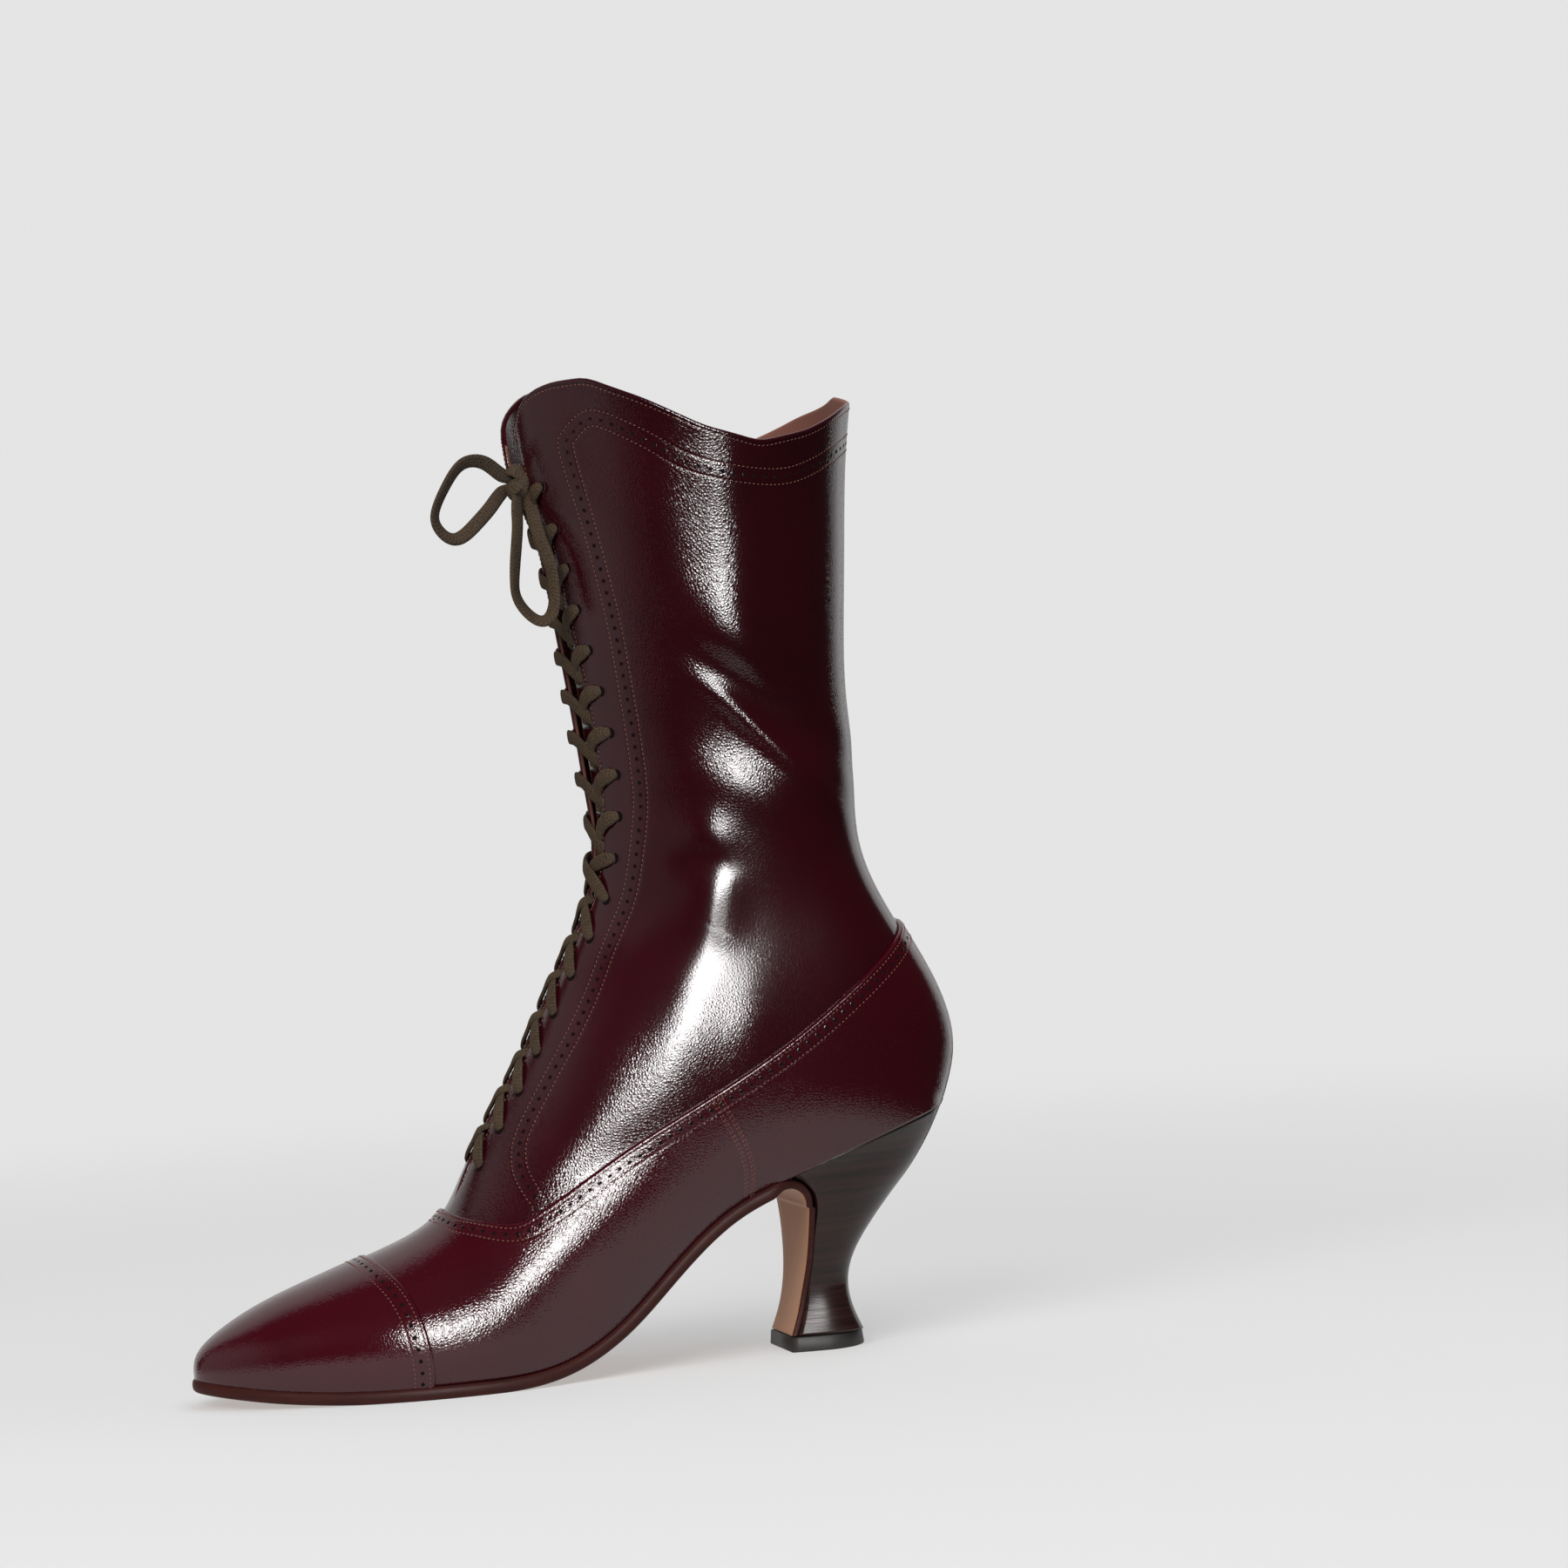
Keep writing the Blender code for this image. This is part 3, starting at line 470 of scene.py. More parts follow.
def leather_finish():
    f = Finish("burgundy_leather", Specular_IOR_Level=0.55, IOR=1.52, Coat_Weight=0.0)
    edge = f.attribute("edge")
    band = f.attribute("band")
    second = f.attribute("second")
    seam = edge.bell(EDGE_ROW, GROOVE) + second.bell(0, GROOVE)
    seam = seam + band.bell(BAND_ROWS, GROOVE) + band.bell(-BAND_ROWS, GROOVE)
    cloud = f.noise(26, 3)
    grain = f.cells(0.95)
    pores = f.noise(0.6, 2)
    patch = f.noise(30, 2)
    height = f.node("ShaderNodeSeparateXYZ", None, {0: f.place}, out="Z")
    pulled = height.bell(PULLED_Z, PULLED_SPAN)
    shade = f.noise(90, 2)
    tint = (cloud - 0.5) * 0.55 + (shade - 0.5) * 0.5 + 0.3 + seam * 0.35
    relief = grain * (patch * 0.13 + 0.03) * (1 - 0.8 * pulled) + pores * 0.02 - seam * 0.05
    gloss = 0.125 + (cloud - 0.5) * 0.05 + pores * 0.04
    return f.finish(f.mix(OXBLOOD, OXBLOOD_DARK, tint), gloss, relief)


def lining_finish():
    f = Finish("tan_lining", Specular_IOR_Level=0.3)
    cloud = f.noise(14, 3)
    pores = f.noise(0.5, 3)
    colour = f.mix((0.25, 0.105, 0.078, 1), (0.17, 0.068, 0.050, 1), cloud)
    return f.finish(colour, 0.62 + pores * 0.1, pores * 0.03)


def sole_finish():
    f = Finish("sole_leather", Specular_IOR_Level=0.35)
    fibre = f.noise(0.9, 4, (0.35, 1, 1))
    cloud = f.noise(18, 3)
    colour = f.mix((0.47, 0.250, 0.137, 1), (0.33, 0.168, 0.092, 1), cloud * 0.6 + fibre * 0.3)
    return f.finish(colour, 0.48 + fibre * 0.14, fibre * 0.05)


def sole_edge_finish():
    f = Finish("sole_edge", Specular_IOR_Level=0.12)
    layers = f.noise(1.6, 3, (0.12, 0.12, 1.4))
    colour = f.mix((0.070, 0.016, 0.012, 1), (0.024, 0.007, 0.006, 1), layers)
    return f.finish(colour, 0.42 + layers * 0.12, layers * 0.06)


def heel_finish():
    f = Finish("heel_stack", Specular_IOR_Level=0.33, Coat_Weight=0.0)
    lifts = f.noise(1.3, 3, (0.03, 0.03, 1.0))
    fibre = f.noise(0.5, 4, (0.08, 0.08, 1.0))
    cloud = f.noise(16, 2)
    layer = (lifts - 0.5) * 2.1 + 0.4 + (cloud - 0.5) * 0.6
    colour = f.mix((0.036, 0.0138, 0.0108, 1), (0.008, 0.0040, 0.0036, 1), layer)
    return f.finish(colour, 0.18 + fibre * 0.14, lifts * 0.04 + fibre * 0.02)


def lift_finish():
    f = Finish("lift_rubber", Specular_IOR_Level=0.4)
    dust = f.noise(0.6, 4)
    scuff = f.noise(5, 3)
    colour = f.mix((0.016, 0.013, 0.012, 1), (0.045, 0.038, 0.036, 1), scuff * dust)
    return f.finish(colour, 0.42 + dust * 0.2, dust * 0.05)


def lace_finish():
    """Flat braid: yarns slant to the lace's middle from both edges, so the relief is a row of chevrons."""
    f = Finish("lace_cotton", Specular_IOR_Level=0.25)
    along = f.attribute("along")
    across = f.attribute("across")
    slant = along * (2 * math.pi / 1.15) + across.math("ABSOLUTE") * 5.2
    yarn = slant.math("SINE") * 0.5 + 0.5
    rows = (across * 13).math("SINE") * 0.5 + 0.5
    fluff = f.noise(0.22, 3)
    wear = f.noise(7, 2)
    strip = f.node("ShaderNodeCombineXYZ", None, {0: along * 0.5, 1: across * 4.5})
    fibre = f.node("ShaderNodeTexNoise", None, {"Vector": strip, "Scale": 1.6, "Detail": 3.0})
    # Painted light on the braid: the colour is lighter on the yarns' crests, across the rows and along fibre
    # streaks, as painted highlight and shade; fluff and wear are the cotton's own mottling.
    light = yarn * 0.25 + rows * 0.1 + (fibre - 0.5) * 1.3 + fluff * 0.25 + wear * 0.3
    colour = f.mix((0.019, 0.0122, 0.0072, 1), (0.128, 0.081, 0.045, 1), light)
    return f.finish(colour, 0.7 + fluff * 0.2, yarn * 0.07 + rows * 0.04 + fibre * 0.14 + fluff * 0.04)


def thread_finish():
    f = Finish("stitch_thread", Specular_IOR_Level=0.12)
    twist = f.noise(0.3, 2)
    colour = f.mix((0.18, 0.056, 0.044, 1), (0.36, 0.132, 0.102, 1), twist)
    return f.finish(colour, 0.75 + twist * 0.1)


def hole_shade_finish():
    # Painted shade: the near-black of the inside of a hole, put on a flat disc.
    f = Finish("hole_shadow", Specular_IOR_Level=0.1)
    dust = f.noise(0.4, 2)
    return f.finish(f.mix((0.004, 0.0018, 0.0018, 1), (0.010, 0.004, 0.004, 1), dust), 0.85 + dust * 0.1)


LEATHER = leather_finish()
LINING = lining_finish()
SOLE = sole_finish()
SOLE_EDGE = sole_edge_finish()
HEEL = heel_finish()
LIFT = lift_finish()
LACE = lace_finish()
THREAD = thread_finish()
HOLE_SHADE = hole_shade_finish()
print("finishes", len(bpy.data.materials))

# %% [markdown]
# ## Putting arrays into meshes
# Every piece is a set of grids of points. One helper turns grids into faces, another adds the finished arrays
# to the scene, welds what coincides, and lets the piece ride on the boot's body.


# %% Mesh helpers
WELD, SLIVER = 0.002, 0.001  # points nearer than the first are one, edges shorter than the second go


class Arrays:
    """Points, faces, a material number for each face and named values for each point, grown grid by grid."""

    def __init__(self):
        self.points, self.faces, self.looks, self.values = [], [], [], {}
        self.count = 0

    def add(self, points, faces, look=0, **values):
        points = np.asarray(points, float).reshape(-1, 3)
        for key in dict.fromkeys((*self.values, *values)):
            filled = self.values.setdefault(key, [np.full(self.count, FAR)] if self.count else [])
            filled.append(np.broadcast_to(values.get(key, FAR), (len(points),)))
        self.points.append(points)
        self.faces.append(np.asarray(faces) + self.count)
        self.looks.append(np.broadcast_to(look, (len(faces),)))
        self.count += len(points)
        return np.arange(self.count - len(points), self.count)

    def join(self, first, second, look=0):
        """Strip of faces between two rows of points already added."""
        self.faces.append(np.stack([first[:-1], first[1:], second[1:], second[:-1]], -1))
        self.looks.append(np.full(len(first) - 1, look))


def grid_faces(rows, columns, closed=False):
    """Quads of a grid numbered row by row; a closed grid joins its last column to its first."""
    i, j = np.meshgrid(np.arange(rows - 1), np.arange(columns if closed else columns - 1), indexing="ij")
    k = (j + 1) % columns
    corners = ((i, j), (i, k), (i + 1, k), (i + 1, j))
    return np.stack([a * columns + b for a, b in corners], -1).reshape(-1, 4)


def piece(name, arrays, looks, stands_for=(), weld=True):
    """Object from arrays in millimetres, welded, turned outwards, smooth, and riding on the boot."""
    mesh = bpy.data.meshes.new(name)
    points = np.concatenate(arrays.points) * MM
    faces = [tuple(face) for block in arrays.faces for face in block.tolist()]
    mesh.from_pydata(points.tolist(), [], faces)
    for look in looks:
        mesh.materials.append(look)
    mesh.polygons.foreach_set("material_index", np.concatenate(arrays.looks).astype(np.int32))
    for key, blocks in arrays.values.items():
        layer = mesh.attributes.new(key, "FLOAT", "POINT")
        layer.data.foreach_set("value", np.concatenate(blocks).astype(np.float32))
    if weld:
        bm = bmesh.new()
        bm.from_mesh(mesh)
        bmesh.ops.remove_doubles(bm, verts=bm.verts[:], dist=WELD * MM)
        bmesh.ops.dissolve_degenerate(bm, edges=bm.edges[:], dist=SLIVER * MM)
        bmesh.ops.recalc_face_normals(bm, faces=bm.faces[:])
        if bm.calc_volume(signed=True) < 0:
            bmesh.ops.reverse_faces(bm, faces=bm.faces[:])
        bm.to_mesh(mesh)
        bm.free()
    mesh.polygons.foreach_set("use_smooth", np.ones(len(mesh.polygons), bool))
    made = bpy.data.objects.new(name, mesh)
    bpy.context.scene.collection.objects.link(made)
    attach(made, "root")
    if stands_for:
        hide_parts(*stands_for)
    triangles = sum(len(p.vertices) - 2 for p in mesh.polygons)
    print(name, "points", len(mesh.vertices), "triangles", triangles)
    return made


def nearest_on(points, line):
    """Number of the nearest point of a line for each of many points, a block of them at a time."""
    square = (line**2).sum(-1)
    blocks = np.array_split(points, max(1, len(points) // 4000))
    return np.concatenate([(square - 2 * block @ line.T).argmin(1) for block in blocks])


def distance_to(points, line, normals=None):
    """Distance from each of a grid of points to a line, measured across the line's own direction.

    Given the surface's normals, it is below zero on one side of the line.
    """
    flat = points.reshape(-1, 3)
    k = nearest_on(flat, line)
    ahead = unit(np.gradient(line, axis=0))
    away = flat - line[k]
    step = np.linalg.norm(np.diff(line, axis=0), axis=1).max()
    inner = (k > 0) & (k < len(line) - 1)
    along = np.where(inner, np.clip((away * ahead[k]).sum(-1), -step, step), 0)
    distance = np.sqrt(np.maximum((away**2).sum(-1) - along**2, 0))
    if normals is not None:
        aside = np.cross(normals.reshape(-1, 3), ahead[k])
        distance = np.where((away * aside).sum(-1) < 0, -distance, distance)
    return distance.reshape(points.shape[:-1])


# %% [markdown]
# ## Edges and seam lines
# The collar's edge is a table of heights round the leg. The golosh (the low panel that wraps the foot) and the
# toe cap end on lines drawn from the side, and the pinholed line of the leg is drawn on the last itself, in
# stations along the boot and degrees round it.

# %% Lines on the boot
TOPLINE = np.array([
    (0, 296.0), (30, 291.5), (55, 284.5), (75, 281.5), (95, 287.0), (115, 296.5),
    (135, 304.0), (150, 303.5), (160, 301.0), (167, 296.0), (173, 288.0),
])
OUTER_DROP = 5.0
GOLOSH_EDGE = (
    (-48.0, 60.0), (-41.6, 52.6), (-35.4, 50.6), (-27.3, 49.4), (-19.0, 52.4),
    (-3.0, 62.1), (20.3, 75.3), (60.6, 96.9), (95.6, 122.4), (113.0, 138.5),
)
CAP_EDGE = ((-72.0, 46.0), (-67.4, 40.0), (-60.8, 31.5), (-57.0, 20.0), (-55.4, 9.0), (-55.4, 0.0))
PINHOLE_LINE = (
    (21.62, 0), (21.51, 30), (21.30, 55), (21.17, 73), (21.12, 97), (21.22, 112), (21.34, 126), (21.36, 137),
    (21.16, 145), (20.83, 146), (19.58, 139), (18.26, 136), (16.18, 139), (14.90, 144), (13.66, 148),
    (12.51, 150), (11.65, 146), (10.84, 144), (10.16, 145), (9.32, 144), (8.96, 140), (8.80, 134),
    (8.74, 126), (8.74, 117),
)
SIDE_SEAM = ((11.84, 88), (11.74, 76), (11.60, 60), (11.30, 43))
THROAT_STATION = 7.5
THROAT_TAPER = 1.5
THROAT = np.array([
    # station, half of the gap between the facings
    (7.5, 2.8), (9.0, 2.8), (11.0, 3.0), (12.5, 3.5), (13.5, 5.0), (14.4, 6.6), (15.0, 8.0), (15.6, 9.3),
    (16.4, 10.2), (17.2, 10.2), (18.0, 9.6), (18.7, 8.2), (19.4, 7.2), (20.0, 7.0), (22.0, 7.0),
])
GAP_STATIONS = np.linspace(THROAT_STATION, TOP, 300)
GAP_HALVES = smoothed(np.interp(GAP_STATIONS, *THROAT.T), 10)
HALF_DEGREES = np.linspace(0, 180, 361)


def throat_half(station):
    """Half the gap between the facings, which opens as a square root from the foot of the throat."""
    opening = np.sqrt(np.clip((station - THROAT_STATION) / THROAT_TAPER, 0, 1))
    return opening * np.interp(station, GAP_STATIONS, GAP_HALVES)


def angle_at(station, side, out):
    """Angle from the ridge at which the form is a given distance from the middle of the throat."""
    share = np.clip(out / np.maximum(half_width(station, side), 0.3), 0, 1)
    return np.pi - np.arcsin(share ** (1 / column("front", station)))


def throat_angle(station, side):
    """Edge of the facing, which runs out to nothing at the foot of the throat."""
    half = throat_half(station)
    return np.where(half > 0, angle_at(station, side, half), np.pi)


def collar_stations(side):
    """Station at which the form reaches the collar's edge, for every half degree."""
    rows = np.linspace(TOP - 2, TOP, 60)
    drop = OUTER_DROP * ease(HALF_DEGREES, 140, 165) * (side == LATERAL)
    edge = smoothed(np.interp(HALF_DEGREES, *TOPLINE.T) - drop, 8)
    heights = form(rows[:, None], np.radians(HALF_DEGREES)[None, :], side)[..., 2]
    return np.array([np.interp(z, h, rows) for z, h in zip(edge, heights.T)])


COLLAR_STATIONS = {side: collar_stations(side) for side in SIDES}


def top_station(angle, side):
    """Station of the collar's edge at any angle, from the table."""
    return np.interp(np.degrees(angle), HALF_DEGREES, COLLAR_STATIONS[side])


def even_line(station, angle, side, step=0.5):
    """The same line on the skin, respaced to equal steps."""
    run = run_length(skin(station, angle, side))
    even = np.linspace(0, run[-1], max(2, int(run[-1] / step) + 1))
    return np.interp(even, run, station), np.interp(even, run, angle)


def drawn_line(rows, side):
    """Line through rows of station and degrees."""
    line = route(rows, 40)
    return even_line(line[:, 0], np.radians(line[:, 1]), side)


def golosh_line(side):
    """Where the side view of the golosh's edge crosses the form: one angle for each station."""
    station = np.linspace(6.9, 17.6, 320)
    angle = np.linspace(np.pi, 0, 260)
    points = form(station[:, None], angle[None, :], side)
    edge = route(GOLOSH_EDGE, 12)
    above = points[..., 2] - np.interp(points[..., 0], edge[:, 0], edge[:, 1])
    crosses = (above[:, 1:] <= 0) & (above[:, :-1] > 0)
    rows = np.flatnonzero(crosses.any(1))
    k = crosses[rows].argmax(1)
    high, low = above[rows, k], above[rows, k + 1]
    found = angle[k] + (angle[k + 1] - angle[k]) * high / (high - low)
    first = 2 * station[rows[0]] - station[rows[1]]
    last = 2 * station[rows[-1]] - station[rows[-2]]
    station = np.concatenate([[first], station[rows], [last]])
    found = np.concatenate([[np.pi], found, [0.0]])
    return even_line(station, found, side, 0.7)


def cap_line(side, count=90):
    """Where the side view of the cap's edge crosses the form: one station for each angle."""
    station = np.linspace(4.4, 6.2, 500)
    share = np.linspace(0, 1, count)
    start = tuck_angle(np.array(5.35), side)
    angle = start + (np.pi - start) * share
    points = form(station[:, None], angle[None, :], side)
    edge = route(CAP_EDGE, 12)[::-1]
    behind = points[..., 0] - np.interp(points[..., 2], edge[:, 1], edge[:, 0])
    k = (behind > 0).argmax(0)
    cols = np.arange(count)
    ahead, past = behind[k - 1, cols], behind[k, cols]
    return station[k - 1] + (station[k] - station[k - 1]) * ahead / (ahead - past), angle


def shifted(station, angle, side, across, steps=3):
    """Line moved across itself over the skin: each step solves for the two changes that give the distance."""
    for _ in range(steps):
        here = form(station, angle, side)
        ahead = np.gradient(here, axis=0)
        normal = form_normal(station, angle, side)
        aside = np.cross(normal, ahead) * side
        aside /= np.maximum(np.linalg.norm(aside, axis=-1, keepdims=True), 1e-9)
        by_station = (form(station + STEP, angle, side) - form(station - STEP, angle, side)) / (2 * STEP)
        by_angle = (form(station, angle + STEP, side) - form(station, angle - STEP, side)) / (2 * STEP)
        a = (by_station * by_station).sum(-1)
        b = (by_station * by_angle).sum(-1)
        c = (by_angle * by_angle).sum(-1)
        p, q = ((u * aside).sum(-1) * across / steps for u in (by_station, by_angle))
        fall = np.maximum(a * c - b * b, 1e-9)
        station = station + (c * p - b * q) / fall
        angle = np.clip(angle + (a * q - b * p) / fall, 0, np.pi)
    return station, angle


GOLOSH_LINES = {side: golosh_line(side) for side in SIDES}
CAP_LINES = {side: cap_line(side) for side in SIDES}
PINHOLE_LINES = {side: drawn_line(PINHOLE_LINE, side) for side in SIDES}
print("golosh edge", round(run_length(skin(*GOLOSH_LINES[MEDIAL], MEDIAL))[-1]), "mm on the inner side")

# %% [markdown]
# ## Upper
# The upper is a lined wall 1.8 mm thick. Its outer and inner skins are two grids over each side, from the sole
# line to the facing and up to the collar, and both dip to the middle of the wall in a quarter circle at a free
# edge, so the edge is round. Leather shows outside and salmon lining inside, except inside the facing, where
# the leather that backs the eyelets shows and also stands in as painted shade on the lining.

# %% Upper
WALL = 1.8
# Inside the facing, the leather that backs the eyelets shows in place of the lining; being darker, it is also
# painted shade on the lining there.
STAY_AND_SHADE = slice(-20, -4)      # columns of the leather that backs the eyelets
EDGE_STEPS = np.array([2.4, 1.5, 0.9, 0.55, 0.28, 0.1, 0.0])


def edge_stretch(rows, edge, side):
    """Millimetres for each radian just inside an edge, and at least two."""
    gap = form(rows, edge - STEP, side) - form(rows, edge - 2 * STEP, side)
    return np.maximum(np.linalg.norm(gap, axis=-1) / STEP, 2.0)


def collar_rise(top, angle, side):
    """Millimetres for each station just under the collar."""
    return np.linalg.norm(form(top, angle, side) - form(top - STEP, angle, side), axis=-1) / STEP


def upper_grid(side):
    """Stations and angles over one side, closer together at the facing and the collar."""
    rows = np.concatenate([
        np.linspace(0, 6, 22)[:-1], np.linspace(6, HEEL_CORNER, 92)[:-1], np.linspace(HEEL_CORNER, TOP, 150)
    ])[:, None]
    start = tuck_angle(rows, side)
    edge = throat_angle(rows, side)
    near = EDGE_STEPS / edge_stretch(rows, edge, side)
    wide = np.linspace(0, 1, 56)[:-1]
    angle = np.concatenate([start + (edge - near[:, :1] - start) * wide, edge - near], 1)
    leg = np.clip((rows - HEEL_CORNER) / (TOP - HEEL_CORNER), 0, 1)
    top = top_station(angle, side)
    station = np.minimum(rows, HEEL_CORNER) + leg * (top - HEEL_CORNER)
    rim = top[-1] - EDGE_STEPS[:, None] / collar_rise(top[-1], angle[-1], side)
    keep = rows[:, 0] < TOP - 0.12
    station = np.concatenate([station[keep], rim])
    angle = np.concatenate([angle[keep], np.repeat(angle[-1:], len(EDGE_STEPS), 0)])
    return station, angle


def edge_round(distance, radius):
    """Drop of a round edge: radius less the height of a quarter circle at that distance from the edge."""
    inside = np.clip(1 - distance / radius, 0, 1)
    return radius * (1 - np.sqrt(1 - inside**2))


def make_upper():
    arrays = Arrays()
    for side in SIDES:
        station, angle = upper_grid(side)
        middle = skin(station, angle, side)
        lengths = run_length(middle.transpose(1, 0, 2))
        to_facing = (lengths[-1] - lengths).T
        heights = run_length(middle)
        to_top = heights[-1] - heights
        opening = ease(station[:, -1:], THROAT_STATION, THROAT_STATION + 0.5)
        radius = WALL / 2
        drop = np.maximum(edge_round(to_facing, radius) * opening, edge_round(to_top, radius))
        shown = np.where(opening > 0.5, to_facing, FAR)
        edge = np.minimum(shown, to_top)
        normal = form_normal(station, angle, side)
        band = distance_to(middle, skin(*PINHOLE_LINES[side], side), normal)
        outer = middle - drop[..., None] * normal
        inner = middle + (drop - WALL)[..., None] * normal
        rows, columns = station.shape
        faces = grid_faces(rows, columns)
        first = arrays.add(outer, faces, 0, edge=edge.ravel(), band=band.ravel())
        looks = np.ones((rows, columns), int)
        # Leather, not lining, inside the facing: the eyelet stay, and painted shade on the lining there.
        looks[opening[:, 0] > 0.5, STAY_AND_SHADE] = 0
        second = arrays.add(inner, faces, looks[:-1, :-1].ravel())
        first, second = first.reshape(rows, columns), second.reshape(rows, columns)
        throat = np.flatnonzero(station[:, -1] > THROAT_STATION)[0] - 1
        sole = np.flatnonzero(station[:, 0] > HEEL_CORNER)[0]
        arrays.join(first[throat:, -1], second[throat:, -1], 1)
        arrays.join(first[-1], second[-1], 1)
        arrays.join(first[:sole, 0], second[:sole, 0], 1)
    return piece("upper_leather", arrays, (LEATHER, LINING), ["upper"])


make_upper()

# %% [markdown]
# ## Golosh and toe cap
# Both are overlays that lie on the upper with their own thickness, so they are the same function lifted
# further, between two lines. A folded edge rounds down to what is under it.

# %% Golosh and toe cap
GOLOSH_LIFT = 1.5
CAP_LIFT = 2.2
UNDERSIDE = 0.08
FOLD = 0.8
GOLOSH_ROWS = 5.6  # second row of stitches, from the edge
CAP_ROWS = 6.0
EDGE_SLOPE = 0.6   # how fast the grid's lower columns may follow the edge, radians a station
LOWER = 0.8        # how far up the lower columns reach
OVERLAY_EDGE_STEPS = np.array([3.0, 2.0, 1.3, 0.85, 0.5, 0.25, 0.08, 0.0])


def overlay_lift(distance, low, high):
    """Quarter ellipse up from low at the edge to high one fold inside it."""
    return low + (high - low) * np.sqrt(1 - np.clip(1 - distance / FOLD, 0, 1) ** 2)


def add_overlay(arrays, station, angle, side, edge_line, low, high, rows_apart):
    """Outer and inner grid of one side of an overlay."""
    edge = distance_to(form(station, angle, side), form(*edge_line, side))
    lift = overlay_lift(edge, low, high)
    outer = skin(station, angle, side, lift)
    inner = skin(station, angle, side, np.full(lift.shape, UNDERSIDE))
    rows, columns = station.shape
    faces = grid_faces(rows, columns)
    values = {"edge": edge.ravel(), "second": (edge - rows_apart).ravel()}
    first = arrays.add(outer, faces, 0, **values).reshape(rows, columns)
    second = arrays.add(inner, faces, 0, **values).reshape(rows, columns)
    return first, second


def make_golosh():
    arrays = Arrays()
    for side in SIDES:
        line = GOLOSH_LINES[side]
        ahead = np.linspace(4.7, line[0][0], 40)[:-1]
        rows = np.concatenate([ahead, line[0][::2]])[:, None]
        edge = np.concatenate([np.full(len(ahead), np.pi), line[1][::2]])[:, None]
        start = np.minimum(tuck_angle(rows, side), edge)
        near = np.minimum(OVERLAY_EDGE_STEPS / edge_stretch(rows, edge, side), 0.3 * (edge - start))
        top = edge - near[:, :1]
        gentle = np.min(top.T + EDGE_SLOPE * np.abs(rows - rows.T), axis=1, keepdims=True)
        bend = start + LOWER * (np.maximum(gentle, 0.3 * top + 0.7 * start) - start)
        low = start + (bend - start) * np.linspace(0, 1, 36)[:-1]
        high = bend + (top - bend) * np.linspace(0, 1, 12)[:-1]
        angle = np.concatenate([low, high, edge - near], 1)
        station = np.broadcast_to(rows, angle.shape)
        first, second = add_overlay(arrays, station, angle, side, line, UNDERSIDE, GOLOSH_LIFT, GOLOSH_ROWS)
        sole = np.flatnonzero(rows[:, 0] > HEEL_CORNER)[0]
        arrays.join(first[len(ahead):, -1], second[len(ahead):, -1])
        arrays.join(first[0], second[0])
        arrays.join(first[:sole, 0], second[:sole, 0])
    return piece("golosh_leather", arrays, (LEATHER,), ["golosh"])


def make_toe_cap():
    arrays = Arrays()
    for side in SIDES:
        line_station, line_angle = CAP_LINES[side]
        share = np.linspace(0, 1, len(line_angle))
        back = 1 - np.linspace(1, 0, 64)[:-1] ** 1.6 * 0.985 - 0.015
        reach = np.concatenate([back, 1 - OVERLAY_EDGE_STEPS / 75])
        reach = np.unique(np.concatenate([[0.0, 0.004, 0.012], reach[reach > 0.012]]))[:, None]
        station = reach * line_station[None, :]
        start = tuck_angle(station, side)
        angle = start + (np.pi - start) * share
        first, second = add_overlay(
            arrays, station, angle, side, CAP_LINES[side], GOLOSH_LIFT - 0.2, CAP_LIFT, CAP_ROWS
        )
        tip = SECTIONS[0]
        arrays.points[-1][: len(share)] = (tip[2] - UNDERSIDE, tip[4], tip[3])
        arrays.join(first[-1], second[-1])
        arrays.join(first[:, 0], second[:, 0])
    return piece("toe_cap_leather", arrays, (LEATHER,), ["toe_cap"])


make_golosh()
make_toe_cap()

# %% [markdown]
# ## Tongue
# The tongue closes the throat from inside, from below the lowest eyelets to just under the collar. It is a
# strip of the same form, sunk under the facings and widening upwards.

# %% Tongue
TONGUE_LIFT = -2.3
TONGUE_THICK = 1.4
TONGUE_LOW, TONGUE_TOP = 13.0, 24.0


def make_tongue():
    arrays = Arrays()
    rows = np.linspace(THROAT_STATION - 0.9, TOP - 0.6, 120)[:, None]
    climb = (rows - rows[0]) / (rows[-1] - rows[0])
    half = TONGUE_LOW + (TONGUE_TOP - TONGUE_LOW) * climb
    for side in SIDES:
        angle = np.pi + (angle_at(rows, side, half) - np.pi) * np.linspace(1, 0, 14)
        station = np.broadcast_to(rows, angle.shape)
        base = form(station, angle, side)
        normal = form_normal(station, angle, side)
        faces = grid_faces(*station.shape)
        first = arrays.add(base + TONGUE_LIFT * normal, faces, 0, edge=FAR, band=FAR).reshape(station.shape)
        second = arrays.add(base + (TONGUE_LIFT - TONGUE_THICK) * normal, faces, 1).reshape(station.shape)
        for a, b in ((first[0], second[0]), (first[-1], second[-1]), (first[:, 0], second[:, 0])):
            arrays.join(a, b, 1)
    return piece("tongue_leather", arrays, (LEATHER, LINING), ["tongue"])


make_tongue()

# %% [markdown]
# ## Stitches and pinholes
# A row of stitches is one small spindle of thread repeated at an even pitch along a line on the skin, each a
# little slanted. A pinhole is a dark disc, painted as the shade inside the hole, with a raised lip. Both are
# joined meshes from arrays: the template's three directions become the line's direction, the direction across
# it, and the skin's normal.

# %% Stitches
STITCH_PITCH = 1.5
STITCH = (0.94, 0.34, 0.24)
STITCH_SLANT = 0.16
HOLE_PITCH = 3.7
HOLE_RADIUS = 0.56
SEAM_ROWS = (-1.6, -0.8, 0.8, 1.6)
AHEAD, DOWN = 0, 2  # axes along which the cap and the golosh lie within their edges


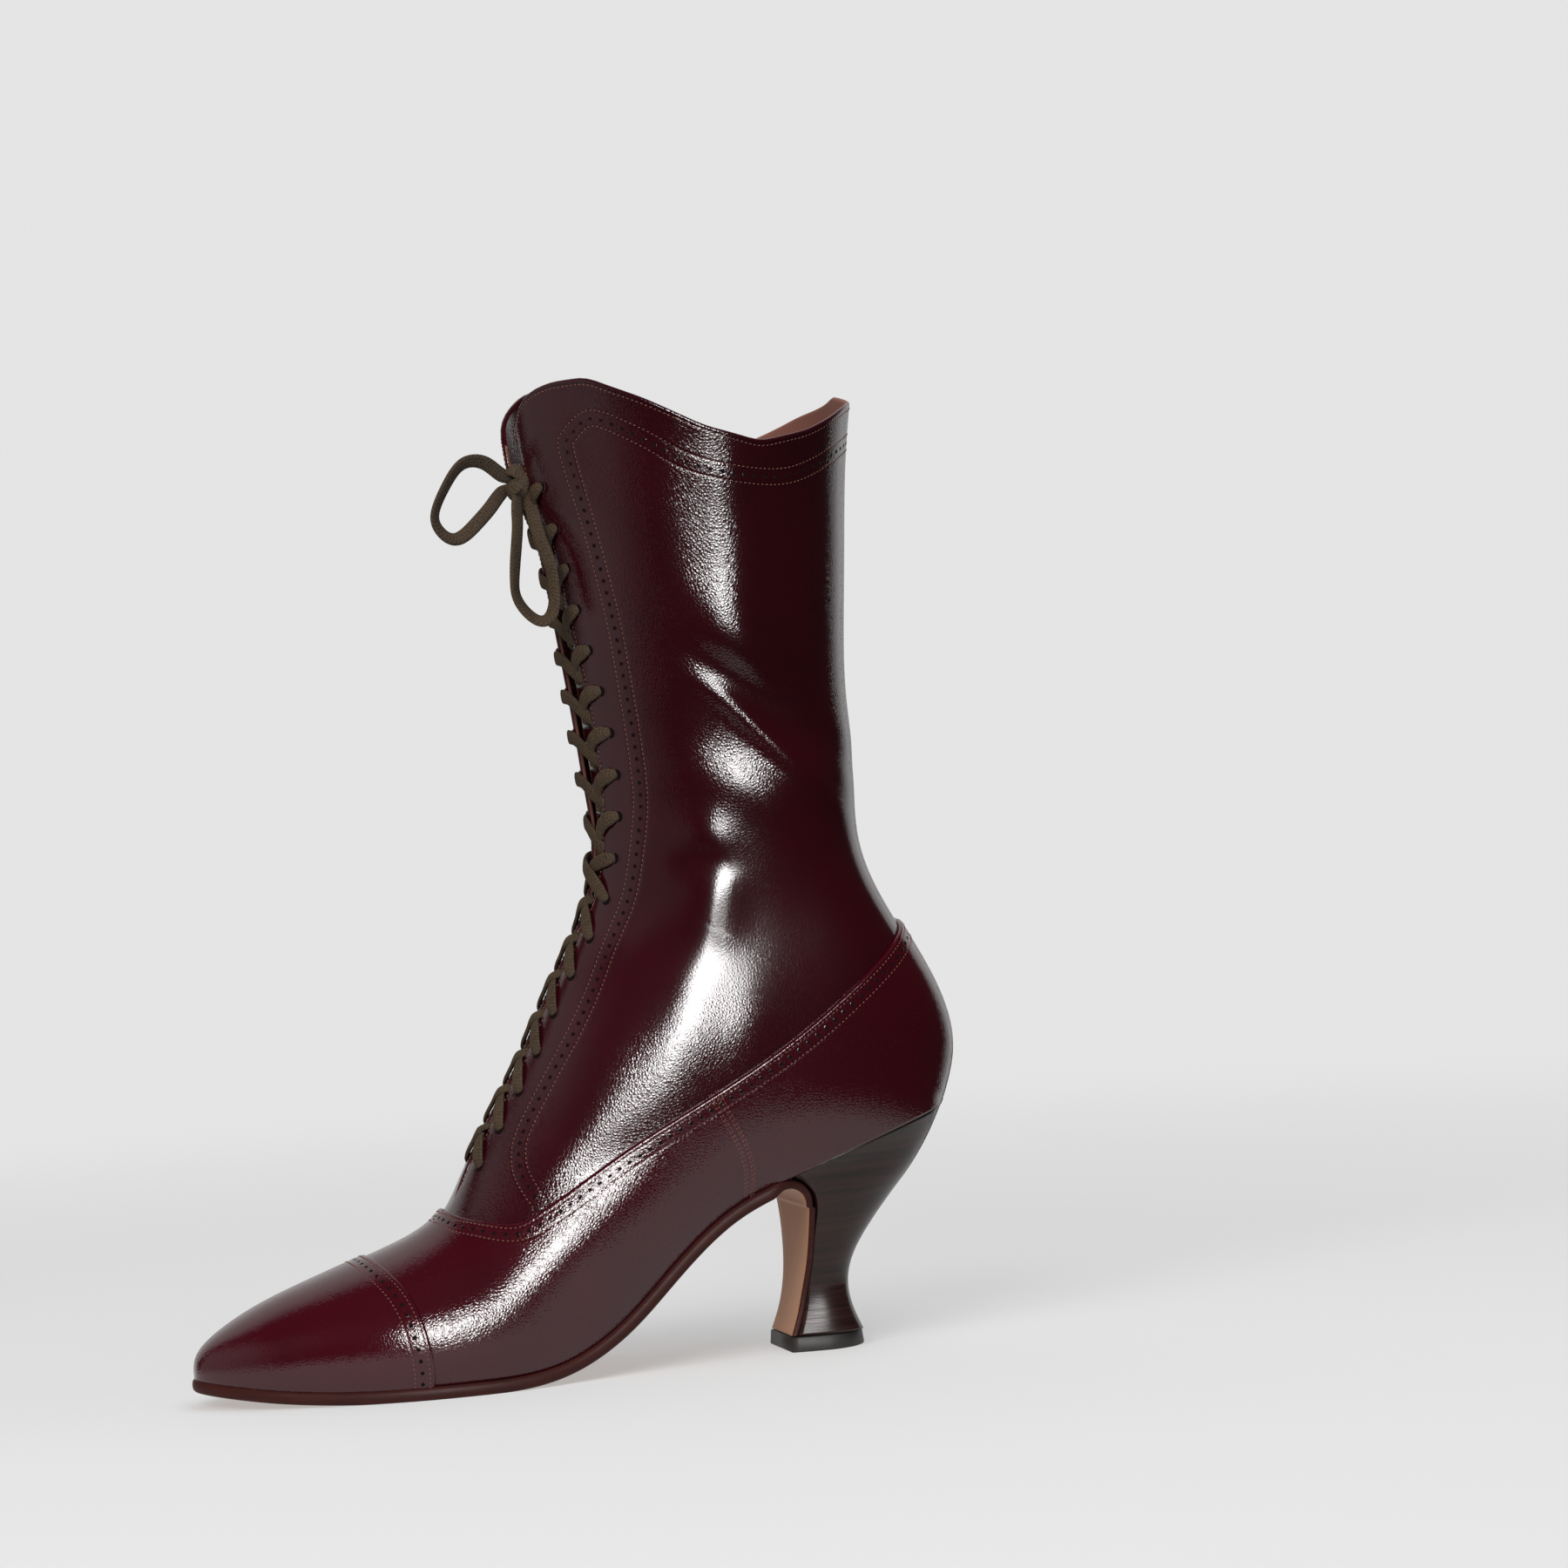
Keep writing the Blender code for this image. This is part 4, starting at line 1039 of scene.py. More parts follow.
def spindle():
    """Two rings of five points between two end points: a stitch one unit long, wide and high."""
    turn = np.arange(5) * 2 * np.pi / 5
    ring = np.stack([np.zeros(5), np.cos(turn) / 2, np.sin(turn) / 2], -1)
    points = np.concatenate([
        [(-0.5, 0, -0.2)], ring + [-0.28, 0, 0.1], ring + [0.28, 0, 0.1], [(0.5, 0, -0.2)],
    ])
    k = np.arange(5)
    n = (k + 1) % 5
    faces = np.concatenate([
        np.stack([np.zeros(5, int), 1 + n, 1 + k, 1 + k], -1),
        np.stack([1 + k, 1 + n, 6 + n, 6 + k], -1),
        np.stack([6 + k, 6 + n, np.full(5, 11), np.full(5, 11)], -1),
    ])
    return points, faces


def punched(radius, sides=10):
    """Rings of a pinhole: the dark middle, painted as the hole's shade, its rim, and a lip that runs out into
    the leather.
    """
    turn = np.arange(sides) * 2 * np.pi / sides
    circle = np.stack([np.cos(turn), np.sin(turn), np.zeros(sides)], -1)
    rings = [circle * [r, r, 0] + [0, 0, h] for r, h in (
        (radius * 0.02, 0.03), (radius * 0.95, 0.03), (radius * 1.1, 0.04), (radius * 1.5, -0.03))]
    faces = grid_faces(4, sides, closed=True)
    looks = np.repeat([1, 1, 0], sides)
    return np.concatenate(rings), faces, looks


def placed_along(station, angle, side, lift, pitch, start=0.5):
    """Even places along a line on the skin: point, direction along, direction across, normal."""
    points = skin(station, angle, side, lift)
    normal = form_normal(station, angle, side)
    run = run_length(points)
    at = np.arange(pitch * start, run[-1], pitch)
    ahead = np.gradient(points, axis=0)
    centre, ahead, normal = (
        np.stack([np.interp(at, run, block[:, k]) for k in range(3)], -1) for block in (points, ahead, normal)
    )
    ahead = unit(ahead)
    normal = square_to(normal, ahead)
    return centre, ahead, np.cross(normal, ahead), normal


def stamp(arrays, template, faces, places, look=0):
    """Copies of a template at many places at once, as one block of points and faces."""
    centre, ahead, aside, normal = places
    points = (
        centre[:, None]
        + template[None, :, 0, None] * ahead[:, None]
        + template[None, :, 1, None] * aside[:, None]
        + template[None, :, 2, None] * normal[:, None]
    )
    step = np.arange(len(centre))[:, None, None] * len(template)
    looks = np.tile(np.broadcast_to(look, (len(faces),)), len(centre))
    arrays.add(points, (faces[None] + step).reshape(-1, faces.shape[-1]), looks)


def stitch_rows():
    """Every stitch line: station, angle, side and the lift of the leather it is sewn on."""
    for side in SIDES:
        for d in (EDGE_ROW, GOLOSH_ROWS):
            yield (*inward(GOLOSH_LINES[side], side, d, DOWN), side, GOLOSH_LIFT)
        for d in (EDGE_ROW, CAP_ROWS):
            yield (*inward(CAP_LINES[side], side, d, AHEAD), side, CAP_LIFT)
        for d in (-BAND_ROWS, BAND_ROWS):
            station, angle = shifted(*PINHOLE_LINES[side], side, d)
            clear = above_golosh(station, angle, side)
            yield (station[clear], angle[clear], side, 0.0)
        yield (*facing_row(side), side, 0.0)
        yield (*collar_row(side), side, 0.0)
        seam = drawn_line(SIDE_SEAM, side)
        for d in SEAM_ROWS:
            yield (*shifted(*seam, side, d), side, GOLOSH_LIFT)


def inward(line, side, distance, axis):
    """Line moved inside its overlay: of the two ways across it, the one that lies less far along the axis."""
    middle = len(line[0]) // 2
    both = [shifted(*line, side, way * distance) for way in (-1, 1)]
    return min(both, key=lambda moved: form(moved[0][middle], moved[1][middle], side)[axis])


def above_golosh(station, angle, side):
    """True where a point of the leg is not under the golosh."""
    line_station, line_angle = GOLOSH_LINES[side]
    return angle > np.interp(station, line_station, line_angle) + 0.01


def facing_row(side):
    """Stitches along the free edge of the facing."""
    station = np.linspace(THROAT_STATION + 0.9, TOP, 600)
    angle = angle_at(station, side, throat_half(station) + EDGE_ROW)
    top = top_station(angle, side)
    clear = station < top - 0.12
    return even_line(station[clear], angle[clear], side)


def collar_row(side):
    """Stitches along the collar, the same distance under its edge."""
    angle = np.linspace(0, np.radians(172), 400)
    top = top_station(angle, side)
    return even_line(top - (EDGE_ROW + 0.4) / collar_rise(top, angle, side), angle, side)


def make_stitches():
    arrays = Arrays()
    template, faces = spindle()
    template = template * STITCH
    slant = np.array([[1, STITCH_SLANT, 0], [-STITCH_SLANT, 1, 0], [0, 0, 1]])
    for station, angle, side, lift in stitch_rows():
        stamp(arrays, template @ slant, faces, placed_along(station, angle, side, lift, STITCH_PITCH))
    return piece("seam_stitches", arrays, (THREAD,))


def make_pinholes():
    arrays = Arrays()
    template, faces, looks = punched(HOLE_RADIUS)
    for side in SIDES:
        lines = [
            (*inward(GOLOSH_LINES[side], side, (EDGE_ROW + GOLOSH_ROWS) / 2, DOWN), GOLOSH_LIFT),
            (*inward(CAP_LINES[side], side, (EDGE_ROW + CAP_ROWS) / 2, AHEAD), CAP_LIFT),
            (*PINHOLE_LINES[side], 0.0),
        ]
        for station, angle, lift in lines:
            if lift == 0.0:
                clear = above_golosh(station, angle, side)
                station, angle = station[clear], angle[clear]
            stamp(arrays, template, faces, placed_along(station, angle, side, lift, HOLE_PITCH), looks)
    return piece("pinholes", arrays, (LEATHER, HOLE_SHADE), weld=False)


make_stitches()
make_pinholes()

# %% [markdown]
# ## Sole
# A thin leather sole follows the sole line from the toe to the arch and turns down the front of the heel as a
# flap. Each cross-section is a ring: the tread, a rounded edge, the top, and the other edge. The tread is
# natural leather, and the edges are dyed.

# %% Sole
GAP = 0.3
SOLE_THICK = 4.0
SOLE_MARGIN = 3.0
SOLE_END = 11.75
SOLE_END_THICK = 3.0
FLAP_THICK = 2.0
BREAST_RADIUS = 6.5
EDGE_BULGE = 0.9
BREAST = np.array([
    # z, x, half width
    (45.7, 68.9, 20.4), (40.0, 69.0, 18.1), (33.0, 68.8, 15.9), (26.0, 68.2, 13.9),
    (19.0, 67.0, 12.2), (12.0, 65.3, 12.0), (5.1, 62.8, 12.5),
])


def sole_line(side, margin, rows):
    """Plan of the line where the upper meets the sole, moved outwards by a margin."""
    line = sharp_form(rows, tuck_angle(rows, side), side)[:, :2]
    fine = np.linspace(0, HEEL_CORNER, 1400)
    ahead = np.gradient(sharp_form(fine, tuck_angle(fine, side), side)[:, :2], axis=0)
    push = unit(np.stack([ahead[:, 1], -ahead[:, 0]], -1) * -side)
    push = np.stack([np.interp(rows, fine, push[:, k]) for k in (0, 1)], -1)
    push[rows == 0] = (-1, 0)
    push[rows == HEEL_CORNER] = (1, 0)
    return line + margin * push


def low_height(x):
    """Height of the line where the upper meets the sole, carried on straight past the toe."""
    fine = np.linspace(0, HEEL_CORNER, 1400)
    line_x, line_z = column("low_x", fine), column("low_z", fine)
    slope = (line_z[40] - line_z[0]) / (line_x[40] - line_x[0])
    return np.where(x < line_x[0], line_z[0] + slope * (x - line_x[0]), np.interp(x, line_x, line_z))


EDGE_TURN = np.linspace(0, 1, 8)[:, None]
SOLE_ACROSS = np.linspace(0, 1, 9)
ROUND_SWELL = np.sqrt(np.maximum(1 - (2 * EDGE_TURN - 1) ** 2, 0))
SQUARE_SWELL = 1 - np.abs(2 * EDGE_TURN - 1) ** 5
OVER = len(SOLE_ACROSS) + len(EDGE_TURN) - 2  # number of a ring's first point on the upper face
BACK = OVER + len(SOLE_ACROSS)                # and of the first one past it


def ring(under, over, far_bulge, near_bulge):
    """Ring of one row: tread across, lateral edge up, top back across, medial edge down."""
    over = over[::-1]
    far = under[-1] + EDGE_TURN * (over[0] - under[-1]) + far_bulge
    near = over[-1] + EDGE_TURN * (under[0] - over[-1]) + near_bulge
    return np.concatenate([under, far[1:-1], over, near[1:-1]])


def sole_rings():
    toe = 3 * (1 - np.cos(np.linspace(0, np.pi / 2, 30))[:-1])
    rows = np.concatenate([toe, np.linspace(3, SOLE_END, 110)])
    lines = {side: sole_line(side, SOLE_MARGIN - EDGE_BULGE, rows) for side in SIDES}
    wide = {side: sole_line(side, SOLE_MARGIN, rows) for side in SIDES}
    slopes = np.arctan(np.gradient(column("low_z", rows), column("low_x", rows)))
    rings = []
    for k, slope in enumerate(slopes[:-1]):
        medial, lateral = lines[MEDIAL][k], lines[LATERAL][k]
        across = medial + SOLE_ACROSS[:, None] * (lateral - medial)
        top = low_height(across[:, 0]) - GAP
        tread = np.maximum(top - SOLE_THICK / math.cos(slope), 0.0)
        bulges = [ROUND_SWELL * np.append(wide[side][k] - lines[side][k], 0) for side in (LATERAL, MEDIAL)]
        rings.append(ring(np.column_stack([across, tread]), np.column_stack([across, top]), *bulges))
    return rings, slopes[-1], lines[MEDIAL][-1], lines[LATERAL][-1]


def flap_rings(tilt, medial, lateral):
    """Rings round the hollow under the arch and down the front of the heel."""
    corner_z = float(low_height(medial[0])) - GAP
    lift = BREAST_RADIUS + SOLE_END_THICK
    hub_x = medial[0] + lift * math.sin(tilt)
    hub_z = corner_z - lift * math.cos(tilt)
    share = np.linspace(0, 1, 22)
    angle = (np.pi / 2 + tilt) * (1 - share)
    outer = BREAST_RADIUS + SOLE_END_THICK + share * (FLAP_THICK - SOLE_END_THICK)
    front = np.stack([hub_x + BREAST_RADIUS * np.cos(angle), hub_z + BREAST_RADIUS * np.sin(angle)], -1)
    back = np.stack([hub_x + outer * np.cos(angle), hub_z + outer * np.sin(angle)], -1)
    low = medial[1] + share * (-BREAST[0, 2] - medial[1])
    high = lateral[1] + share * (BREAST[0, 2] - lateral[1])
    down = route(BREAST, 8)[1:]
    front = np.concatenate([front, down[:, [1, 0]]])
    back = np.concatenate([back, down[:, [1, 0]] + [FLAP_THICK, 0]])
    low = np.concatenate([low, -down[:, 2]])
    high = np.concatenate([high, down[:, 2]])
    rings = []
    bulge = SQUARE_SWELL * (0, EDGE_BULGE / 2, 0)
    for f, b, y0, y1 in zip(front, back, low, high):
        y = (y0 + EDGE_BULGE / 2) + SOLE_ACROSS * (y1 - y0 - EDGE_BULGE)
        under, over = (np.stack([np.full(len(y), x), y, np.full(len(y), z)], -1) for x, z in (f, b))
        rings.append(ring(under, over, bulge, -bulge))
    return rings


def make_sole():
    arrays = Arrays()
    rings, tilt, medial, lateral = sole_rings()
    rings = np.array(rings + flap_rings(tilt, medial, lateral))
    rows, columns = rings.shape[:2]
    faces = grid_faces(rows, columns, closed=True)
    tread = len(SOLE_ACROSS)
    dyed = np.tile(np.arange(columns) >= tread - 1, rows - 1)
    last = arrays.add(rings, faces, dyed.astype(int)).reshape(rows, columns)[-1]
    arrays.join(last[:tread], last[OVER:BACK][::-1], 1)
    for turn in (last[tread - 1:OVER + 1], np.append(last[BACK - 1:], last[0])):
        middle = arrays.add(rings[-1][turn - last[0]].mean(0), np.empty((0, 4), int))
        arrays.join(turn, np.repeat(middle, len(turn)), 1)
    return piece("sole_leather", arrays, (SOLE, SOLE_EDGE), ["outsole"])


make_sole()

# %% [markdown]
# ## Heel and top lift
# The heel is stacked and shaped from many thin lifts of leather, waisted above a flared foot. Rings down the
# block give its curve, each flat in front and round behind. The top lift under it is a flat D.

# %% Heel
HEEL_MARGIN = 1.3
SEAM_GAP = 0.08
ROUND_EDGE = 0.4
LIP = 0.97
HEEL_RINGS = np.array([
    # front z, back x, back z, half width, fullness, narrowing at the breast
    (55.4, 117.6, 74.1, 25.0, 3.0, 0.0), (53.5, 112.9, 64.4, 23.8, 2.8, 0.0),
    (49.5, 106.9, 55.0, 21.8, 2.6, 0.0), (43.5, 100.6, 47.4, 19.2, 2.5, 0.0),
    (36.0, 93.0, 38.0, 16.8, 2.4, 0.1), (28.5, 87.2, 29.5, 14.7, 2.5, 0.2),
    (21.0, 84.4, 21.3, 12.9, 2.8, 0.5), (13.0, 84.9, 13.0, 14.0, 3.1, 2.0), (5.0, 87.9, 5.0, 15.1, 3.3, 2.6),
])
LIFT_HEIGHT = 4.7
LIFT_FRONT, LIFT_BACK, LIFT_HALF = 62.3, 88.7, 14.6
LIFT_STRAIGHT, LIFT_NARROWING = 0.45, 0.9
LIFT_FLARE = 0.5


def heel_front(z):
    """Front of the heel block, just behind the flap of sole leather."""
    hub_x, hub_z = BREAST[0, 1] - BREAST_RADIUS, BREAST[0, 0]
    reach = BREAST_RADIUS + SOLE_END_THICK - ROUND_EDGE
    if z > hub_z:
        return hub_x + math.sqrt(max(reach**2 - (z - hub_z) ** 2, 0.0))
    thick = FLAP_THICK + (SOLE_END_THICK - FLAP_THICK) * max(0, (z - BREAST[1, 0]) / (hub_z - BREAST[1, 0]))
    return float(np.interp(z, BREAST[::-1, 0], BREAST[::-1, 1])) + thick + SEAM_GAP


def make_heel():
    back = np.sin(np.linspace(0, np.pi / 2, 28))
    seat_rows = np.linspace(SOLE_END - 0.5, HEEL_CORNER, 300)
    seat = [sole_line(side, HEEL_MARGIN, seat_rows) for side in SIDES]
    rings = []
    for k, (front_z, back_x, back_z, half, fullness, pinch) in enumerate(HEEL_RINGS):
        front = heel_front(front_z)
        x = front + back * (back_x - front)
        curve = half * np.maximum(1 - back**fullness, 0) ** (1 / fullness) - pinch * (1 - back) ** 2
        z = front_z + back * (back_z - front_z)
        halves = [-curve, curve]
        if k == 0:
            z = low_height(x) - GAP
            halves = [np.interp(x, line[:, 0], line[:, 1]) * (back < 1) for line in seat]
        near, far = (np.stack([x, y, z], -1) for y in halves)
        rings.append(np.concatenate([near, far[-2::-1]]))
    rings = np.array(rings)
    fine = np.linspace(0, len(rings) - 1, 90)
    rings = np.stack([
        np.stack([cubic(rings[:, j, k], fine) for k in range(3)], -1) for j in range(rings.shape[1])
    ], 1)
    centre = rings[0].mean(0) * (1, 1, 0)
    lip = centre + (rings[0] - centre) * (LIP, LIP, 1)
    rings = np.concatenate([lip[None], rings[1:]])
    arrays = Arrays()
    rows, columns = rings.shape[:2]
    points = arrays.add(rings, grid_faces(rows, columns, closed=True)).reshape(rows, columns)
    middle = len(back) - 1
    for row in (points[0], points[-1]):
        arrays.join(row[: middle + 1], row[middle:][::-1])
    return piece("heel_stack", arrays, (HEEL,), ["heel"])


def make_top_lift():
    """D outline from the heel's front edge and a half ellipse, carried through rings with softened edges."""
    turn = np.linspace(-np.pi / 2, np.pi / 2, 41)
    mid = LIFT_FRONT + LIFT_STRAIGHT * (LIFT_BACK - LIFT_FRONT)
    corner = LIFT_HALF * LIFT_NARROWING
    sides_x = np.linspace(LIFT_FRONT, mid, 6)[:-1]
    sides_y = corner + (LIFT_HALF - corner) * np.sin(np.linspace(0, np.pi / 2, 6))[:-1]
    x = np.concatenate([sides_x, mid + (LIFT_BACK - mid) * np.cos(turn), sides_x[::-1]])
    y = np.concatenate([-sides_y, LIFT_HALF * np.sin(turn), sides_y[::-1]])
    centre = np.array([(LIFT_FRONT + LIFT_BACK) / 2, 0.0])
    out = unit(np.stack([x, y], -1) - centre)
    rings = []
    for inset, z in ((0.5, 0.0), (0.15, 0.12), (0.0, 0.4), (LIFT_FLARE * 0.9, LIFT_HEIGHT - 0.35),
                     (LIFT_FLARE + 0.15, LIFT_HEIGHT - 0.1), (LIFT_FLARE + 0.45, LIFT_HEIGHT)):
        rings.append(np.column_stack([np.stack([x, y], -1) - inset * out, np.full(len(x), z)]))
    rings = np.array(rings)
    arrays = Arrays()
    rows, columns = rings.shape[:2]
    points = arrays.add(rings, grid_faces(rows, columns, closed=True)).reshape(rows, columns)
    half = columns // 2
    for row in (points[0], points[-1]):
        arrays.join(row[: half + 1], row[half:][::-1])
    return piece("top_lift_rubber", arrays, (LIFT,), ["top_lift"])


make_heel()
make_top_lift()

# %% [markdown]
# ## Insole
# The insole is a plain flat piece that only shows from above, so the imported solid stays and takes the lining's
# finish.

# %% Insole
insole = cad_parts["insole"]
insole.data.materials.clear()
insole.data.materials.append(LINING)
print("insole keeps its solid")

# %% [markdown]
# ## Lace
# A flat braided lace runs up the throat through eighteen pairs of punched eyelets. Each bar is a ribbon: a
# flattened ring carried along a path, pinched where it goes into its hole. The lower rows come out of the
# holes and dive into the throat, the upper rows come out of the throat and dive into the holes, and the two
# meet in one full cross.

# %% Lace bars
EYELET_ROWS = 18
EYELET_INSET = 6.6
EYELET_LOW_Z, EYELET_HIGH_Z = 66.0, 272.5
LACE_WIDTH, LACE_THICK = 4.6, 1.4
CROSSOVER_ROW = 7
RIBBON_SIDES = 14


def eyelet_stations():
    """Stations of the eyelet rows, evenly spaced along the edge of the medial facing."""
    fine = np.linspace(THROAT_STATION, TOP, 800)
    line = sharp_form(fine, angle_at(fine, MEDIAL, throat_half(fine) + EYELET_INSET), MEDIAL)
    run = run_length(line)
    first, last = (np.interp(z, line[:, 2], run) for z in (EYELET_LOW_Z, EYELET_HIGH_Z))
    return np.interp(np.linspace(first, last, EYELET_ROWS), run, fine)


def over_throat(station, across, lift):
    """Point and normal over the throat at a distance from its middle, below zero on the medial side."""
    points, normals = [], []
    for side in SIDES:
        angle = angle_at(station, side, np.abs(across))
        points.append(skin(station, angle, side, lift))
        normals.append(form_normal(station, angle, side))
    medial = (across < 0)[:, None]
    return np.where(medial, *points), np.where(medial, *normals)


def add_ribbon(arrays, path, up, width, thick):
    """Flattened ring carried along a path, with width across it and up as its face, closed at both ends."""
    ahead = unit(np.gradient(path, axis=0))
    aside = unit(np.cross(up, ahead))
    face = np.cross(ahead, aside)
    turn = np.arange(RIBBON_SIDES) * 2 * np.pi / RIBBON_SIDES
    wide = np.sign(np.cos(turn)) * np.abs(np.cos(turn)) ** 0.75
    high = np.sign(np.sin(turn)) * np.abs(np.sin(turn)) ** 0.85
    rings = (
        path[:, None]
        + (width[:, None] / 2 * wide)[..., None] * aside[:, None]
        + (thick[:, None] / 2 * high)[..., None] * face[:, None]
    )
    rows = len(path)
    along = np.repeat(run_length(path), RIBBON_SIDES)
    across = np.tile(wide, rows)
    points = arrays.add(rings, grid_faces(rows, RIBBON_SIDES, closed=True), 0, along=along, across=across)
    points = points.reshape(rows, RIBBON_SIDES)
    half = RIBBON_SIDES // 2
    for row in (points[0], points[-1]):
        arrays.join(row[: half + 1], np.append(row[0], row[half:][::-1]))


def add_strand(arrays, row, pitch, knots):
    """Ribbon through knots of rise (in pitches), distance across, lift and width."""
    path = route(knots, 7)
    station = row + pitch * path[:, 0]
    points, up = over_throat(station, path[:, 1], path[:, 2])
    add_ribbon(arrays, points, up, path[:, 3], np.full(len(path), LACE_THICK))


def low_bar(side, edge, hole):
    """Out of its hole, up over the facing, and down into the throat past the strand from the other side."""
    over = 0.9 if side > 0 else 0.0
    return [
        (0.0, side * hole, -1.2, 2.4), (0.05, side * (hole - 0.8), 0.15, 3.3),
        (0.2, side * (hole - 2.6), 0.85, 4.5), (0.42, side * (edge + 1.4), 0.95, 4.5),
        (0.62, side * (edge - 2.0), 0.6 + over, 4.1), (0.78, -side * 1.0, 0.1 + over, 3.7),
        (0.92, -side * (edge - 0.4), -1.0, 3.2),
    ]


def high_bar_medial(edge, hole):
    """Over the inner facing from its hole, then steeply down into the throat."""
    return [
        (0.03, -hole, -1.2, 2.4), (-0.02, -(hole - 0.8), 0.15, 3.3), (-0.13, -(hole - 2.6), 0.85, 4.6),
        (-0.33, -(edge + 1.3), 0.95, 4.6), (-0.6, -(edge - 1.2), 0.35, 4.1), (-0.9, -(edge - 3.0), -0.5, 3.4),
        (-1.2, -(edge - 4.2), -1.2, 3.0),
    ]


def high_bar_lateral(edge, hole):
    """From the outer hole over the whole throat, and under the edge of the inner facing."""
    return [
        (0.03, hole, -1.2, 2.4), (-0.02, hole - 0.8, 0.15, 3.3), (-0.13, hole - 2.6, 0.85, 4.6),
        (-0.3, edge + 1.0, 0.95, 4.6), (-0.5, 1.5, 0.9, 4.6), (-0.8, -(edge - 3.5), 0.3, 4.4),
        (-0.96, -(edge - 0.4), -0.6, 4.2), (-1.04, -(edge + 1.0), -1.7, 3.8),
    ]


def cross_bar(side, low_hole, high_hole):
    """From a hole of one row to the next row's hole on the other side, one strand over the other."""
    over = 0.9 if side < 0 else -0.3
    return [
        (-0.03, side * low_hole, -1.2, 2.4), (0.02, side * (low_hole - 0.8), 0.15, 3.3),
        (0.12, side * (low_hole - 2.8), 0.85, 4.5), (0.35, side * low_hole * 0.35, 0.9 + over, 4.6),
        (0.65, -side * high_hole * 0.35, 0.9 + over, 4.6), (0.88, -side * (high_hole - 2.8), 0.85, 4.5),
        (0.98, -side * (high_hole - 0.8), 0.15, 3.3), (1.03, -side * high_hole, -1.2, 2.4),
    ]


def make_lace():
    rows = eyelet_stations()
    edges = throat_half(rows)
    holes = edges + EYELET_INSET
    pitches = np.gradient(rows)
    arrays = Arrays()
    for row, edge, hole, pitch in zip(*(v[:CROSSOVER_ROW] for v in (rows, edges, holes, pitches))):
        for side in SIDES:
            add_strand(arrays, row, pitch, low_bar(side, edge, hole))
    for side in SIDES:
        low, high = CROSSOVER_ROW, CROSSOVER_ROW + 1
        add_strand(arrays, rows[low], rows[high] - rows[low], cross_bar(side, holes[low], holes[high]))
    for row, edge, hole, pitch in zip(*(v[CROSSOVER_ROW + 2:] for v in (rows, edges, holes, pitches))):
        add_strand(arrays, row, pitch, high_bar_medial(edge, hole))
        add_strand(arrays, row, pitch, high_bar_lateral(edge, hole))
    names = [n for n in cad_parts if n.startswith("lace_") and n[5:].isdigit()]
    return piece("lace_bars", arrays, (LACE,), names)


def make_eyelets():
    arrays = Arrays()
    template, faces, looks = punched(1.55, 18)
    rows = eyelet_stations()
    for side in SIDES:
        angle = angle_at(rows, side, throat_half(rows) + EYELET_INSET)
        centre = skin(rows, angle, side)
        normal = form_normal(rows, angle, side)
        ahead = square_to(np.gradient(centre, axis=0), normal)
        stamp(arrays, template, faces, (centre, ahead, np.cross(normal, ahead), normal), looks)
    return piece("eyelet_holes", arrays, (LEATHER, HOLE_SHADE), weld=False)


make_lace()
make_eyelets()

# %% [markdown]
# ## Bow
# The lace is tied in a bow whose loops hang free: one lies forward over the throat and one hangs down. Each is
# the same flat braid on a route through given points, turned on its way so that its face shows. The knot is
# three turns of the braid, each a ring in its own plane.

# %% Bow
KNOT_AT = np.array([-3.9, -5.2, 274.0])
FRONT_LOOP = (
    (-7.2, -5.6, 275.0), (-11.0, -6.6, 277.0), (-15.0, -8.0, 280.0), (-19.5, -9.5, 281.3),
    (-24.6, -11.0, 279.6), (-29.5, -12.5, 273.5), (-33.0, -13.0, 266.7), (-32.5, -12.5, 261.2),
    (-27.0, -11.0, 257.6),
    (-20.0, -9.0, 261.9), (-14.5, -6.5, 267.0), (-10.8, -5.2, 271.0), (-7.2, -4.8, 273.0),
)
HANGING_LOOP = (
    (-5.6, -6.8, 272.4), (-6.8, -8.8, 266.5), (-7.4, -10.5, 260.5), (-9.0, -13.0, 252.0),
    (-10.2, -14.5, 244.0), (-9.2, -15.0, 237.0), (-3.4, -15.5, 231.2), (1.2, -15.5, 234.9),
    (1.6, -15.0, 245.0),
    (0.4, -13.5, 251.5), (-1.2, -11.5, 258.0), (-2.6, -9.2, 267.0), (-3.4, -6.8, 272.2),
)
LOOP_WIDTH, LOOP_THICK = 4.4, 1.3


def make_loop(name, points, node, turn):
    """Ribbon round a loop: its face leans from the loop's own outward direction towards the camera's side."""
    path = route(points, 10)
    ahead = unit(np.gradient(path, axis=0))
    outward = square_to(path - path.mean(0), ahead)
    across = np.cross(ahead, outward)
    share = np.linspace(0, 1, len(path))
    lean = np.radians(turn[0] + (turn[1] - turn[0]) * np.sin(np.pi * share))[:, None]
    up = outward * np.cos(lean) + across * np.sin(lean)
    arrays = Arrays()
    ends = ease(share, 0.0, 0.08) * (1 - ease(share, 0.92, 1.0))
    add_ribbon(arrays, path, up, LOOP_WIDTH * (0.7 + 0.3 * ends), np.full(len(path), LOOP_THICK))
    made = piece(name, arrays, (LACE,), [node])
    length = run_length(path)[-1] * MM
    print(name, "length", round(length, 4), "m")
    return made


